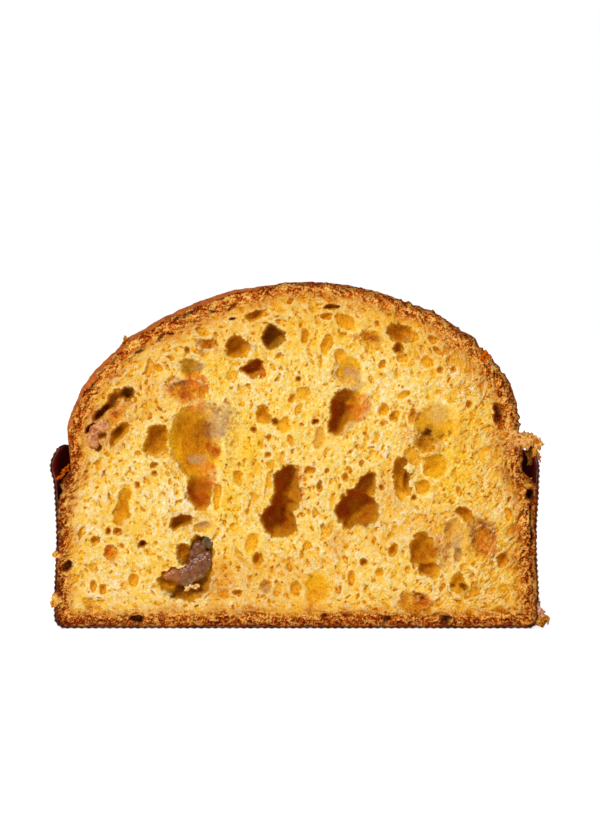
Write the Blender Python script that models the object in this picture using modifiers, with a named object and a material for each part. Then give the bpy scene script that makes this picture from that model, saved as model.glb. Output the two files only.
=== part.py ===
"""Half a low panettone, cut straight down through its middle, in its fluted paper case.

Metres, +Z up. The cut face looks along -Y and the round back along +Y. The origin is on the
table, under the middle of the half's own bounding box.
"""

import math
from collections import namedtuple

import bmesh
import bpy
from mathutils import Matrix, Vector, noise

MM = 0.001

# Driving sizes of the whole panettone
CASE_RADIUS = 100.0 * MM
CASE_HEIGHT = 74.5 * MM
LOAF_TOP = 142.5 * MM
CUT_Y = -CASE_RADIUS / 2

# The dome is a superellipse that stands on the shoulder, at the loaf's widest free height
SHOULDER_Z = 80.0 * MM
SHOULDER_RADIUS = 93.0 * MM
DOME_POWER = 1.9
DOME_RINGS = 17
LEAN_AT_TOP = 3.2 * MM
LEAN_AT_SHOULDER = -1.4 * MM

# Below the shoulder the crust stands off the paper, then swells against it
WAIST_Z = 68.0 * MM
SWELL_Z = 58.0 * MM
LOAF_CORNER = 5.0 * MM
GAP = 0.35 * MM

# Crust relief, in lumps and in finer crags: none where the paper holds the loaf, and little at
# the cut, whose outline was measured
LUMP_SIZE = 17.0 * MM
LUMP_HEIGHT = 1.3 * MM
CRAG_SIZE = 6.0 * MM
CRAG_HEIGHT = 0.7 * MM
RELIEF_AT_CUT = 0.3
RELIEF_DEPTH = 15.0 * MM

# The case is one sheet with ribs that run round it
CASE_WALL = 1.5 * MM
CASE_FLOOR = 1.1 * MM
CASE_CORNER = 5.0 * MM
RIB_PITCH = 2.3 * MM
RIB_DEPTH = 0.5 * MM
CASE_WAIST = 0.9 * MM
WAIST_LOW, WAIST_HIGH = 12.0 * MM, 67.0 * MM
RIM_CURL = 0.8 * MM
WALL_HEIGHTS = [6.0 * MM, 20.0 * MM, 38.0 * MM, 50.0 * MM]

# Loaf and paper are turned in the same steps, so their facets lie side by side
STEPS = 40

# A hollow of the cut face. The half-width, half-height and turn are those of its mouth in the
# cut plane, and hidden is how much of the bubble's depth lies behind its widest section:
# above 0 it undercuts its mouth, and below 0 it is only a shallow dish.
Hollow = namedtuple("Hollow", "x z half_width half_height turn depth hidden")
DEEP, BOWL, DISH = 0.45, 0.0, -0.4

# In millimetres and degrees, with x from the middle and z from the table
HOLLOWS = [
    # The large cavities
    Hollow(-37.5, 78.5, 14.0, 15.5, 0, 8.0, DISH),
    Hollow(-40.5, 55.5, 5.0, 7.0, 0, 9.0, DEEP),
    Hollow(-3.0, 59.5, 5.0, 8.0, -5, 12.0, DEEP),
    Hollow(-7.5, 46.0, 7.0, 8.0, 0, 14.0, DEEP),
    Hollow(25.5, 51.0, 8.0, 9.0, 0, 12.0, DEEP),
    Hollow(30.0, 60.0, 4.0, 6.0, -12, 9.0, DEEP),
    Hollow(19.5, 89.5, 5.5, 11.0, -15, 10.0, DEEP),
    Hollow(58.0, 84.0, 10.0, 10.0, 0, 5.0, DISH),
    Hollow(52.5, 30.0, 5.0, 8.0, 12, 7.0, DEEP),
    Hollow(-46.5, 97.5, 7.5, 6.0, 20, 4.0, DISH),
    # Under the dome
    Hollow(-9.5, 120.0, 5.0, 5.0, 30, 9.0, DEEP),
    Hollow(-23.5, 116.0, 6.0, 4.5, 8, 6.0, DEEP),
    Hollow(-16.5, 129.0, 5.0, 2.0, 18, 5.0, DEEP),
    Hollow(-18.0, 106.5, 4.5, 3.5, 0, 8.0, DEEP),
    Hollow(-35.0, 117.5, 5.0, 2.5, 5, 3.5, BOWL),
    Hollow(-43.0, 107.5, 5.5, 4.0, 10, 3.5, BOWL),
    Hollow(12.5, 129.0, 3.5, 1.5, 0, 3.0, BOWL),
    Hollow(21.5, 125.0, 6.0, 3.0, -28, 3.5, BOWL),
    Hollow(43.5, 121.5, 7.0, 4.0, -18, 6.0, DEEP),
    Hollow(41.0, 115.5, 2.5, 2.5, 0, 4.0, DEEP),
    Hollow(30.5, 120.0, 4.5, 3.0, -10, 3.0, BOWL),
    Hollow(12.5, 116.5, 3.0, 5.5, 12, 3.0, BOWL),
    Hollow(23.0, 105.0, 6.0, 8.5, 25, 4.5, BOWL),
    # Towards the left side
    Hollow(-73.5, 94.0, 9.5, 2.4, 40, 7.0, DEEP),
    Hollow(-57.0, 77.5, 4.7, 7.4, -22, 7.0, DEEP),
    Hollow(-73.0, 80.0, 2.7, 5.3, -32, 7.0, DEEP),
    Hollow(-70.5, 50.5, 4.0, 9.5, -14, 5.0, BOWL),
    Hollow(-48.0, 44.5, 5.5, 3.0, 20, 8.0, DEEP),
    Hollow(-47.6, 33.0, 3.0, 2.8, 0, 5.0, DEEP),
    Hollow(-76.5, 31.5, 3.0, 3.7, 0, 4.0, DEEP),
    Hollow(-94.2, 26.0, 1.6, 3.2, -32, 5.0, DEEP),
    Hollow(-67.0, 20.0, 2.3, 3.7, -12, 2.5, BOWL),
    Hollow(-65.5, 4.6, 3.0, 2.0, 0, 6.0, DEEP),
    # The middle
    Hollow(-13.0, 88.0, 4.0, 5.0, 0, 5.0, BOWL),
    Hollow(-5.0, 83.5, 4.0, 5.0, 0, 2.5, DISH),
    Hollow(3.5, 96.5, 4.0, 3.7, 0, 2.0, DISH),
    Hollow(9.5, 78.0, 3.5, 6.5, -10, 3.0, BOWL),
    Hollow(-33.0, 52.0, 2.3, 6.0, -5, 3.0, BOWL),
    Hollow(-15.5, 28.5, 2.7, 2.7, 20, 4.5, DEEP),
    Hollow(-12.0, 17.5, 3.7, 3.7, 0, 3.5, BOWL),
    Hollow(-18.5, 35.0, 3.7, 5.7, -18, 3.0, BOWL),
    Hollow(8.5, 16.0, 5.3, 8.2, 0, 3.5, DISH),
    # Towards the right side
    Hollow(36.0, 90.5, 2.3, 3.7, -15, 3.0, BOWL),
    Hollow(40.5, 87.5, 2.5, 3.3, -20, 3.5, BOWL),
    Hollow(83.0, 89.5, 2.2, 5.0, 10, 5.0, DEEP),
    Hollow(43.5, 61.0, 4.0, 8.6, 6, 6.0, BOWL),
    Hollow(57.0, 67.0, 5.7, 5.3, 0, 4.0, BOWL),
    Hollow(52.5, 58.5, 4.0, 3.7, 0, 3.5, BOWL),
    Hollow(68.5, 48.0, 4.5, 2.5, -28, 5.0, DEEP),
    Hollow(65.0, 40.5, 5.0, 5.7, 0, 4.5, BOWL),
    Hollow(77.0, 36.0, 5.0, 7.0, 10, 5.0, BOWL),
    Hollow(84.5, 28.5, 2.3, 3.3, -20, 4.0, DEEP),
    Hollow(39.5, 31.5, 2.5, 3.7, -10, 4.0, DEEP),
    Hollow(67.0, 18.5, 3.7, 3.9, 0, 6.0, DEEP),
    Hollow(49.5, 10.5, 7.0, 4.0, 10, 3.0, BOWL),
    Hollow(61.5, 4.4, 2.6, 1.8, 0, 5.0, DEEP),
]
HOLLOW_RINGS = {True: (10, 7), False: (7, 5)}
LARGE_HOLLOW = 5.0

# A lobe of fruit: its middle, its half-lengths along x, y and z, and its turn in the cut plane
Lobe = namedtuple("Lobe", "x depth z half_x half_y half_z turn")
CHESTNUT_LOBES = [
    Lobe(-44.0, 2.6, 24.6, 10.2, 6.0, 5.0, 18),
    Lobe(-44.6, 3.2, 17.4, 10.6, 5.5, 4.6, 2),
    Lobe(-40.8, 3.0, 30.2, 4.4, 4.8, 4.0, 34),
    Lobe(-36.6, 2.4, 34.6, 3.6, 4.6, 4.2, -10),
]
CHIP_LOBES = [
    Lobe(-81.4, 1.8, 83.2, 4.4, 4.0, 3.0, 25),
    Lobe(-79.6, 1.8, 79.4, 3.6, 3.6, 3.4, 0),
]
FRUIT_RECESS = 0.6 * MM
SOCKET_GAP = 0.65 * MM
FRUIT_SEGMENTS, FRUIT_RINGS = 12, 8

# A flap of crumb that the knife dragged out over the right edge of the paper
FLAP_LOBES = [
    Lobe(91.0, 2.4, 79.4, 4.2, 3.6, 3.6, -5),
    Lobe(95.2, 2.0, 78.9, 3.6, 3.0, 2.8, -12),
    Lobe(97.4, 1.6, 77.8, 2.0, 2.2, 1.8, -30),
]


def clear_scene():
    for old in list(bpy.data.objects):
        bpy.data.objects.remove(old, do_unlink=True)


def new_collection(name):
    collection = bpy.data.collections.new(name)
    bpy.context.scene.collection.children.link(collection)
    return collection


def add_object(name, mesh, collection):
    made = bpy.data.objects.new(name, mesh)
    collection.objects.link(made)
    return made


def mark_helper(helper):
    """A cutter or a guide: it shapes its neighbours and isn't part of the object."""
    helper.hide_render = True
    helper.display_type = "WIRE"
    return helper


def material(name, colour, roughness):
    made = bpy.data.materials.new(name)
    made.use_nodes = True
    shader = made.node_tree.nodes["Principled BSDF"]
    shader.inputs["Base Color"].default_value = (*colour, 1.0)
    shader.inputs["Roughness"].default_value = roughness
    shader.inputs["Metallic"].default_value = 0.0
    made.diffuse_color = (*colour, 1.0)
    return made


def evaluated_mesh(made, name):
    """The object's mesh with its modifiers applied."""
    graph = bpy.context.evaluated_depsgraph_get()
    mesh = bpy.data.meshes.new_from_object(made.evaluated_get(graph))
    mesh.name = name
    return mesh


def turned(name, profile):
    """A profile of (radius, height), top to bottom on its outer side, turned about the case's axis."""
    mesh = bpy.data.meshes.new(name + "_profile")
    points = [(radius, 0.0, height) for radius, height in profile]
    edges = [(i, i + 1) for i in range(len(points) - 1)]
    mesh.from_pydata(points, edges, [])
    guide = add_object(name + "_profile", mesh, bpy.context.scene.collection)
    screw = guide.modifiers.new("turn", "SCREW")
    screw.axis = "Z"
    screw.steps = screw.render_steps = STEPS
    screw.use_merge_vertices = True
    screw.merge_threshold = 0.01 * MM
    made = evaluated_mesh(guide, name)
    bpy.data.objects.remove(guide, do_unlink=True)
    made.transform(Matrix.Translation((0.0, CUT_Y, 0.0)))
    return made


def arc(centre_radius, centre_z, radius, start, end, count):
    """Points (radius, height) along an arc, with its angles in degrees from the outward direction."""
    angles = [math.radians(start + (end - start) * i / count) for i in range(count + 1)]
    return [
        (centre_radius + radius * math.cos(a), centre_z + radius * math.sin(a))
        for a in angles
    ]


def dome_radius(z):
    share = min(1.0, (z - SHOULDER_Z) / (LOAF_TOP - SHOULDER_Z))
    return SHOULDER_RADIUS * (1.0 - share**DOME_POWER) ** (1.0 / DOME_POWER)


def loaf_profile():
    """The loaf's outline from the top of its dome to the middle of its base."""
    points = []
    for i in range(DOME_RINGS):
        share = math.sin(0.5 * math.pi * (1.0 - i / DOME_RINGS))
        z = SHOULDER_Z + (LOAF_TOP - SHOULDER_Z) * share
        points.append((dome_radius(z), z))
    points.append((SHOULDER_RADIUS, SHOULDER_Z))
    points.append((SHOULDER_RADIUS - 0.3 * MM, 0.5 * (SHOULDER_Z + WAIST_Z)))
    points.append((SHOULDER_RADIUS - 0.5 * MM, WAIST_Z))
    swell_radius = case_inner_radius(SWELL_Z) - GAP
    points.append((0.5 * (SHOULDER_RADIUS + swell_radius), 0.5 * (WAIST_Z + SWELL_Z)))
    for z in [SWELL_Z] + WALL_HEIGHTS[:0:-1]:
        points.append((case_inner_radius(z) - GAP, z))
    base_z = CASE_FLOOR + GAP
    centre = case_inner_radius(0.0) - GAP - LOAF_CORNER
    points += arc(centre, base_z + LOAF_CORNER, LOAF_CORNER, 0, -90, 4)
    points += [(centre * share, base_z) for share in (0.75, 0.4, 0.0)]
    points[0] = (0.0, LOAF_TOP)
    return points


def case_outer_radius(z):
    """The crests of the paper's ribs: slightly drawn in at half height and at the rim."""
    share = min(1.0, max(0.0, (z - WAIST_LOW) / (WAIST_HIGH - WAIST_LOW)))
    curl = max(0.0, (z - WAIST_HIGH) / (CASE_HEIGHT - WAIST_HIGH))
    return CASE_RADIUS - CASE_WAIST * math.sin(math.pi * share) ** 2 - RIM_CURL * curl**2


def case_inner_radius(z):
    return case_outer_radius(z) - CASE_WALL


def case_profile():
    """Round the paper's section: up the ribs, over the rim, down the smooth inner face."""
    heights = [CASE_HEIGHT, WAIST_HIGH, SWELL_Z] + WALL_HEIGHTS[::-1]
    inside = [(case_inner_radius(z), z) for z in heights]
    corner = CASE_CORNER - CASE_WALL
    centre = case_outer_radius(0.0) - CASE_CORNER
    floor_arc = arc(centre, CASE_FLOOR + corner, corner, 0, -90, 3)
    inside += floor_arc + [(centre * 0.5, CASE_FLOOR), (0.0, CASE_FLOOR)]

    outside = [(0.0, 0.0), (centre * 0.5, 0.0)]
    outside += arc(centre, CASE_CORNER, CASE_CORNER, -90, 0, 4)
    ribs = int((CASE_HEIGHT - CASE_CORNER) / RIB_PITCH)
    pitch = (CASE_HEIGHT - CASE_CORNER) / ribs
    for rib in range(ribs):
        valley_z = CASE_CORNER + pitch * (rib + 0.1)
        crest_z = CASE_CORNER + pitch * (rib + 0.6)
        outside.append((case_outer_radius(valley_z) - RIB_DEPTH, valley_z))
        outside.append((case_outer_radius(crest_z), crest_z))
    rim_z = CASE_HEIGHT
    outside.append((case_outer_radius(rim_z) - RIB_DEPTH, rim_z))
    return (inside[::-1] + outside[::-1])[::-1]


def relief(point, size, height):
    """A smooth lump field, from -height to height."""
    return height * noise.noise(point / size)


def shape_crust(mesh):
    """Leans the dome and gives the free crust its lumps and crags."""
    for vertex in mesh.vertices:
        co = vertex.co
        share = max(0.0, (co.z - SHOULDER_Z) / (LOAF_TOP - SHOULDER_Z))
        free = min(1.0, max(0.0, (co.z - SWELL_Z) / (SHOULDER_Z - SWELL_Z)))
        outward = Vector((co.x, co.y - CUT_Y, max(0.0, co.z - WAIST_Z)))
        if outward.length > 0.0:
            outward.normalize()
        behind = min(1.0, max(0.0, (co.y - CUT_Y) / RELIEF_DEPTH))
        bump = relief(co, LUMP_SIZE, LUMP_HEIGHT) + relief(co, CRAG_SIZE, CRAG_HEIGHT)
        bump *= RELIEF_AT_CUT + (1.0 - RELIEF_AT_CUT) * behind
        shift = LEAN_AT_SHOULDER * free + (LEAN_AT_TOP - LEAN_AT_SHOULDER) * share
        vertex.co = co + outward * bump * free
        vertex.co.x += shift


def ellipsoid(name, place, collection, segments, rings, roughen=0.0):
    """An ellipsoid mesh, set by its 4x4 place, with its surface a little uneven."""
    body = bmesh.new()
    bmesh.ops.create_uvsphere(body, u_segments=segments, v_segments=rings, radius=1.0)
    for vertex in body.verts:
        wobble = noise.noise(vertex.co * 1.7 + place.translation / (9.0 * MM))
        vertex.co *= 1.0 + roughen * wobble
    mesh = bpy.data.meshes.new(name)
    body.to_mesh(mesh)
    body.free()
    mesh.transform(place)
    return add_object(name, mesh, collection)


def hollow_place(hollow):
    """The 4x4 place of the bubble whose mouth in the cut plane is the hollow's."""
    widen = 1.0 / math.sqrt(1.0 - hollow.hidden**2)
    half_depth = hollow.depth / (1.0 + hollow.hidden)
    middle = CUT_Y + hollow.hidden * half_depth * MM
    sizes = (hollow.half_width * widen, half_depth, hollow.half_height * widen)
    return (
        Matrix.Translation((hollow.x * MM, middle, hollow.z * MM))
        @ Matrix.Rotation(math.radians(-hollow.turn), 4, "Y")
        @ Matrix.Diagonal((*(size * MM for size in sizes), 1.0))
    )


def lobe_place(lobe, grow=0.0):
    sizes = (lobe.half_x * MM + grow, lobe.half_y * MM + grow, lobe.half_z * MM + grow)
    return (
        Matrix.Translation((lobe.x * MM, CUT_Y + lobe.depth * MM, lobe.z * MM))
        @ Matrix.Rotation(math.radians(-lobe.turn), 4, "Y")
        @ Matrix.Diagonal((*sizes, 1.0))
    )


def front_block(name, plane_y, collection):
    """A block that covers all that lies in front of plane_y."""
    side = 4.0 * CASE_RADIUS
    body = bmesh.new()
    bmesh.ops.create_cube(body, size=side)
    mesh = bpy.data.meshes.new(name)
    body.to_mesh(mesh)
    body.free()
    mesh.transform(Matrix.Translation((0.0, plane_y - side / 2, 0.0)))
    return mark_helper(add_object(name, mesh, collection))


def boolean(made, operation, other):
    modifier = made.modifiers.new(operation.lower(), "BOOLEAN")
    modifier.operation = operation
    modifier.solver = "EXACT"
    if isinstance(other, bpy.types.Collection):
        modifier.operand_type = "COLLECTION"
        modifier.collection = other
    else:
        modifier.object = other
    return modifier


def apply_modifiers(made):
    mesh = evaluated_mesh(made, made.name)
    made.modifiers.clear()
    made.data = mesh


def remove_collection(collection):
    for helper in list(collection.objects):
        bpy.data.objects.remove(helper, do_unlink=True)
    bpy.data.collections.remove(collection)


def drop_scraps(made):
    """Keeps the largest body of the mesh, and drops what hangs on it by an edge or by nothing."""
    body = bmesh.new()
    body.from_mesh(made.data)
    bmesh.ops.triangulate(body, faces=body.faces)
    left = set(body.faces)
    islands = []
    while left:
        island = {left.pop()}
        to_visit = list(island)
        while to_visit:
            face = to_visit.pop()
            for edge in face.edges:
                if len(edge.link_faces) != 2:
                    continue
                for other in edge.link_faces:
                    if other in left:
                        left.discard(other)
                        island.add(other)
                        to_visit.append(other)
        islands.append(island)
    largest = max(islands, key=len)
    scraps = [face for island in islands if island is not largest for face in island]
    bmesh.ops.delete(body, geom=scraps, context="FACES")
    body.to_mesh(made.data)
    body.free()


def shade_smooth(made, angle):
    made.data.shade_smooth()
    made.data.set_sharp_from_angle(angle=math.radians(angle))


def lobes_in(collection, name, lobes, grow=0.0):
    for number, lobe in enumerate(lobes):
        ellipsoid(
            f"{name}_{number}",
            lobe_place(lobe, grow),
            collection,
            FRUIT_SEGMENTS,
            FRUIT_RINGS,
            roughen=0.12,
        )


def build_fruit(name, lobes, parts, cutters, finish):
    """A piece of fruit, its lobes joined and its front cut off just behind the cut plane."""
    joined = new_collection(name + "_lobes")
    lobes_in(joined, name, lobes)
    fruit = joined.objects[0]
    joined.objects.unlink(fruit)
    parts.objects.link(fruit)
    fruit.name = name
    for lobe in joined.objects:
        boolean(fruit, "UNION", lobe)
    block = front_block(name + "_front", CUT_Y + FRUIT_RECESS, cutters)
    boolean(fruit, "DIFFERENCE", block)
    apply_modifiers(fruit)
    remove_collection(joined)
    drop_scraps(fruit)
    fruit.data.materials.clear()
    fruit.data.materials.append(finish)
    shade_smooth(fruit, 40)
    return fruit


def build_loaf(parts, cutters, finish):
    mesh = turned("loaf", loaf_profile())
    shape_crust(mesh)
    loaf = add_object("loaf", mesh, parts)

    flap = new_collection("flap")
    lobes_in(flap, "flap", FLAP_LOBES)
    for lobe in flap.objects:
        boolean(loaf, "UNION", lobe)
    boolean(loaf, "DIFFERENCE", front_block("loaf_front", CUT_Y, cutters))
    apply_modifiers(loaf)
    remove_collection(flap)

    bubbles = new_collection("bubbles")
    for number, hollow in enumerate(HOLLOWS):
        large = max(hollow.half_width, hollow.half_height) >= LARGE_HOLLOW
        segments, rings = HOLLOW_RINGS[large]
        place = hollow_place(hollow)
        ellipsoid(f"bubble_{number}", place, bubbles, segments, rings, roughen=0.14)
    lobes_in(bubbles, "chestnut_socket", CHESTNUT_LOBES, grow=SOCKET_GAP)
    lobes_in(bubbles, "chip_socket", CHIP_LOBES, grow=SOCKET_GAP)
    boolean(loaf, "DIFFERENCE", bubbles)
    apply_modifiers(loaf)
    remove_collection(bubbles)

    drop_scraps(loaf)
    loaf.data.materials.clear()
    loaf.data.materials.append(finish)
    shade_smooth(loaf, 35)
    return loaf


def build_case(parts, cutters, finish):
    case = add_object("paper_case", turned("paper_case", case_profile()), parts)
    boolean(case, "DIFFERENCE", front_block("case_front", CUT_Y, cutters))
    apply_modifiers(case)
    case.data.materials.clear()
    case.data.materials.append(finish)
    shade_smooth(case, 30)
    return case


def main():
    clear_scene()
    parts = new_collection("half_panettone")
    cutters = new_collection("cutters")
    cutters.hide_render = True
    crumb = material("crumb", (0.87, 0.62, 0.20), 0.85)
    paper = material("brown_paper", (0.09, 0.035, 0.02), 0.7)
    chestnut = material("candied_chestnut", (0.30, 0.14, 0.07), 0.3)
    build_loaf(parts, cutters, crumb)
    build_case(parts, cutters, paper)
    build_fruit("chestnut", CHESTNUT_LOBES, parts, cutters, chestnut)
    build_fruit("chestnut_chip", CHIP_LOBES, parts, cutters, chestnut)
    remove_collection(cutters)


main()
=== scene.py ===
"""The looks of the half panettone: its torn crumb, baked crust, fruit and fluted paper case.

Lengths in this script are millimetres, in the frame of the CAD model, and every mesh is scaled
to metres as it is made; the floor, the lamps and the camera are placed in metres. The cut face
lies at y = CUT and looks along -y.
"""

import math
from collections import namedtuple

import bpy
import numpy as np
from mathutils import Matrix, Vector


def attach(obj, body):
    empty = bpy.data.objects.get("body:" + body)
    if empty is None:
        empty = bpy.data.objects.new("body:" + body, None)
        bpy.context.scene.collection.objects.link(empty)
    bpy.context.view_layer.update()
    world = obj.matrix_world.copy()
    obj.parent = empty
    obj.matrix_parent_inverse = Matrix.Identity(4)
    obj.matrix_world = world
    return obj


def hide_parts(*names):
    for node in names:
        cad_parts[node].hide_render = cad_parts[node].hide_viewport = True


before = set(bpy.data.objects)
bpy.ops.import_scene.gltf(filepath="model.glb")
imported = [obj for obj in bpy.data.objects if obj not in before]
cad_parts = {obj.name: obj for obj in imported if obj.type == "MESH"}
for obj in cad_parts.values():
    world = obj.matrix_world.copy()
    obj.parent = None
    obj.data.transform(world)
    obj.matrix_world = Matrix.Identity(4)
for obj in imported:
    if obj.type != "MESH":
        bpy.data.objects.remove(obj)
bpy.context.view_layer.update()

MM = 0.001
CUT = -50

# The photograph: one pixel is 0.41 mm in the cut plane, and the case stands at PHOTO_TABLE
PIXEL = 0.41
PHOTO_MIDDLE, PHOTO_TABLE, PHOTO_HEIGHT = 296.5, 629.5, 840

# The loaf and its case, as in the CAD model
SHOULDER_Z, SHOULDER_RADIUS, LOAF_TOP = 80, 93, 142.5
DOME_POWER = 1.9
LEAN_AT_SHOULDER, LEAN_AT_TOP = -1.4, 3.2
WAIST_Z, SWELL_Z = 68, 60
CASE_RADIUS, CASE_HEIGHT, CASE_WALL, CASE_FLOOR = 100, 74.5, 1.5, 1.1
# The case's wall bows in from BOW_Z up to CURL_Z, and above that its rim curls in
BOW_Z, CURL_Z, BOW_DEPTH, CURL_DEPTH = 12, 67, 0.9, 0.8
CORNER_RADIUS = 5
GAP = 0.35

# The spacing of the cut face's grid
STEP = 0.3


# Repeatable noise


def lattice(ix, iy, iz, seed):
    """A repeatable number from -1 to 1 for each point of a lattice."""
    n = (
        ix.astype(np.uint32) * np.uint32(374761393)
        + iy.astype(np.uint32) * np.uint32(668265263)
        + iz.astype(np.uint32) * np.uint32(2246822519)
        + np.uint32(seed * 3266489917 & 0xFFFFFFFF)
    )
    n = (n ^ (n >> np.uint32(13))) * np.uint32(1274126177)
    n = (n ^ (n >> np.uint32(16))) * np.uint32(2654435769)
    n = n ^ (n >> np.uint32(15))
    return n.astype(np.float64) / 2147483647.5 - 1


def noise(points, size, seed):
    """Smooth noise from about -1 to 1 at each point; size is a length, or one for each axis."""
    cell = points / np.asarray(size, dtype=float)
    low = np.floor(cell)
    part = cell - low
    part = part * part * part * (part * (part * 6 - 15) + 10)
    low = low.astype(np.int64) + 4096
    total = np.zeros(len(points))
    for dx in (0, 1):
        wx = part[:, 0] if dx else 1 - part[:, 0]
        for dy in (0, 1):
            wy = part[:, 1] if dy else 1 - part[:, 1]
            for dz in (0, 1):
                wz = part[:, 2] if dz else 1 - part[:, 2]
                corner = lattice(low[:, 0] + dx, low[:, 1] + dy, low[:, 2] + dz, seed)
                total += wx * wy * wz * corner
    return total


def rough(points, size, seed, octaves):
    """Noise with more on it, each time 2.03 times finer and half as strong."""
    total, norm = 0, 0
    for octave in range(octaves):
        weight = 0.5**octave
        total = total + weight * noise(points, size / 2.03**octave, seed + octave)
        norm += weight
    return total / norm


def add_noise(field, points, *layers):
    """A field with layers of noise on it, each given as (amount, size, seed)."""
    for amount, size, seed in layers:
        field = field + amount * noise(points, size, seed)
    return field


def smooth(value, low, high):
    """0 below low, 1 above high, with a smooth step between them."""
    share = np.clip((value - low) / (high - low), 0, 1)
    return share * share * (3 - 2 * share)


def blend(first, second, share):
    share = np.asarray(share)[..., None]
    return first * (1 - share) + second * share


def linear(red, green, blue):
    """A colour of 0 to 255, as a screen shows it, in linear light."""
    value = np.array([red, green, blue]) / 255
    return np.where(value <= 0.04045, value / 12.92, ((value + 0.055) / 1.055) ** 2.4)


def at_x(px):
    return (px - PHOTO_MIDDLE) * PIXEL


def at_z(py):
    return (PHOTO_TABLE - py) * PIXEL


# The loaf's outline


def case_outer(z):
    share = np.clip((z - BOW_Z) / (CURL_Z - BOW_Z), 0, 1)
    curl = np.clip((z - CURL_Z) / (CASE_HEIGHT - CURL_Z), 0, None)
    return CASE_RADIUS - BOW_DEPTH * np.sin(np.pi * share) ** 2 - CURL_DEPTH * curl**2


QUARTER_TURN = np.linspace(0, 0.5 * np.pi, 12)[1:]


def loaf_profile():
    """(radius, z) from the top of the dome to the middle of the base, closely spaced."""
    base = CASE_FLOOR + GAP
    rise = np.sin(0.5 * np.pi * np.linspace(1, 0, 400))
    dome_z = SHOULDER_Z + (LOAF_TOP - SHOULDER_Z) * rise
    dome_r = SHOULDER_RADIUS * np.clip(1 - rise**DOME_POWER, 0, None) ** (1 / DOME_POWER)
    wall_z = np.linspace(SHOULDER_Z, base + CORNER_RADIUS, 120)[1:]
    free_r = SHOULDER_RADIUS - 0.5 * smooth(wall_z, SHOULDER_Z, WAIST_Z)
    held_r = case_outer(wall_z) - CASE_WALL - GAP
    wall_r = free_r + (held_r - free_r) * smooth(-wall_z, -WAIST_Z + 1.5, -SWELL_Z + 1)
    centre = held_r[-1] - CORNER_RADIUS
    corner_r = centre + CORNER_RADIUS * np.cos(QUARTER_TURN)
    corner_z = base + CORNER_RADIUS - CORNER_RADIUS * np.sin(QUARTER_TURN)
    floor_r = np.linspace(centre, 0, 40)[1:]
    radius = np.concatenate([dome_r, wall_r, corner_r, floor_r])
    height = np.concatenate([dome_z, wall_z, corner_z, np.full(len(floor_r), base)])
    return radius, height


def resample(radius, height, spacing):
    """The profile again, with points the given distance apart, and each point's outward normal."""
    run = np.concatenate([[0], np.cumsum(np.hypot(np.diff(radius), np.diff(height)))])
    count = int(run[-1] / spacing) + 1
    along = np.linspace(0, run[-1], count)
    radius, height = np.interp(along, run, radius), np.interp(along, run, height)
    dr, dz = np.gradient(radius), np.gradient(height)
    length = np.hypot(dr, dz)
    return radius, height, -dz / length, dr / length, along


# How far the cut edge lies inside the crust's widest line on the left of the dome, where the
# smooth crust shows past the cut
INSET = 1.5
# Bumps in the dome's outline: angle and width in degrees, and height
BUMPS = ((40, 2.2, 1.1), (32.5, 1.6, 0.6), (140, 2.4, 0.9))


def crust_surface(radius, height, normal_r, normal_z, angle):
    """Points of the crust. angle runs from 0, the right of the cut, to 180 degrees, its left."""
    cos, sin = np.cos(angle), np.sin(angle)
    share = np.clip((height - SHOULDER_Z) / (LOAF_TOP - SHOULDER_Z), 0, 1)
    free = smooth(height, SWELL_Z, SHOULDER_Z)
    lean = (LEAN_AT_SHOULDER + (LEAN_AT_TOP - LEAN_AT_SHOULDER) * share) * free
    x = radius * cos + lean
    y = radius * sin
    points = np.stack([x, y, height + 0 * x], axis=-1)
    flat = points.reshape(-1, 3)
    bump = add_noise(0, flat, (0.55, 14, 3), (0.4, 5.2, 5), (0.22, 2.3, 8)).reshape(x.shape)
    polar = np.degrees(np.arctan2(height - 60, x))
    for middle, width, size in BUMPS:
        bump = bump + size * np.exp(-(((polar - middle) / width) ** 2)) * smooth(-y, -12, -2)
    behind = smooth(y, 0, 3.2)
    left = smooth(polar, 97, 112) * smooth(-polar, -176, -168)
    inset = INSET * add_noise(1, flat, (0.5, 5, 21), (0.5, 1.8, 22)).reshape(x.shape)
    bump = bump * free - inset * left * (1 - behind) * free
    # Beside the rim the loaf is fuller on the right, and it has shrunk from the case on the left
    beside = smooth(-y, -9, -1)
    bump = bump + beside * smooth(cos, 0, 0.5) * 1.3 * np.exp(-(((height - 72) / 5) ** 2))
    bump = bump - beside * smooth(-cos, 0, 0.5) * 2 * np.exp(-(((height - 57) / 5.5) ** 4))
    at_rim = smooth(-y, -2.2, -0.1)
    crag = add_noise(0, flat, (0.6, 2.2, 17), (0.55, 1.1, 18), (0.35, 0.6, 19)).reshape(x.shape)
    crag = (crag - 0.15) * at_rim * (1 - 0.7 * left)
    bump = bump + crag * (0.55 + 0.45 * free) - 0.25 * (1 - free) * at_rim
    x = x + bump * normal_r * cos
    y = y + bump * normal_r * sin * smooth(y, 0, 3)
    z = points[..., 2] + bump * normal_z
    return np.stack([x, y + CUT, z], axis=-1)


# Inside the case, crumbs stick out of the cut and over the edge of the case's inner paper
OVERHANG, OVERHANG_TOP = 1.15, 60


def cut_edge(side):
    """The cut's edge on the right (side 1) or the left (side -1), as x and z."""
    edge = crust_surface(*fine[:4], 0 if side > 0 else np.pi)[:, (0, 2)]
    ragged = add_noise(1, np.insert(edge, 1, 0, axis=1), (0.35, 2.4, 151), (0.35, 0.9, 152))
    reach = OVERHANG * ragged * smooth(-edge[:, 1], -OVERHANG_TOP - 2, -OVERHANG_TOP + 2)
    under = smooth(-edge[:, 1], -2.6, -1.6)
    return edge + (reach * (1 - 0.45 * under))[:, None] * np.stack([side * fine[2], fine[3]], 1)


profile = loaf_profile()
fine = resample(*profile, 0.3)
outline = np.concatenate([cut_edge(-1)[::-1], cut_edge(1)[1:]])


# The grid of the cut face

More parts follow.
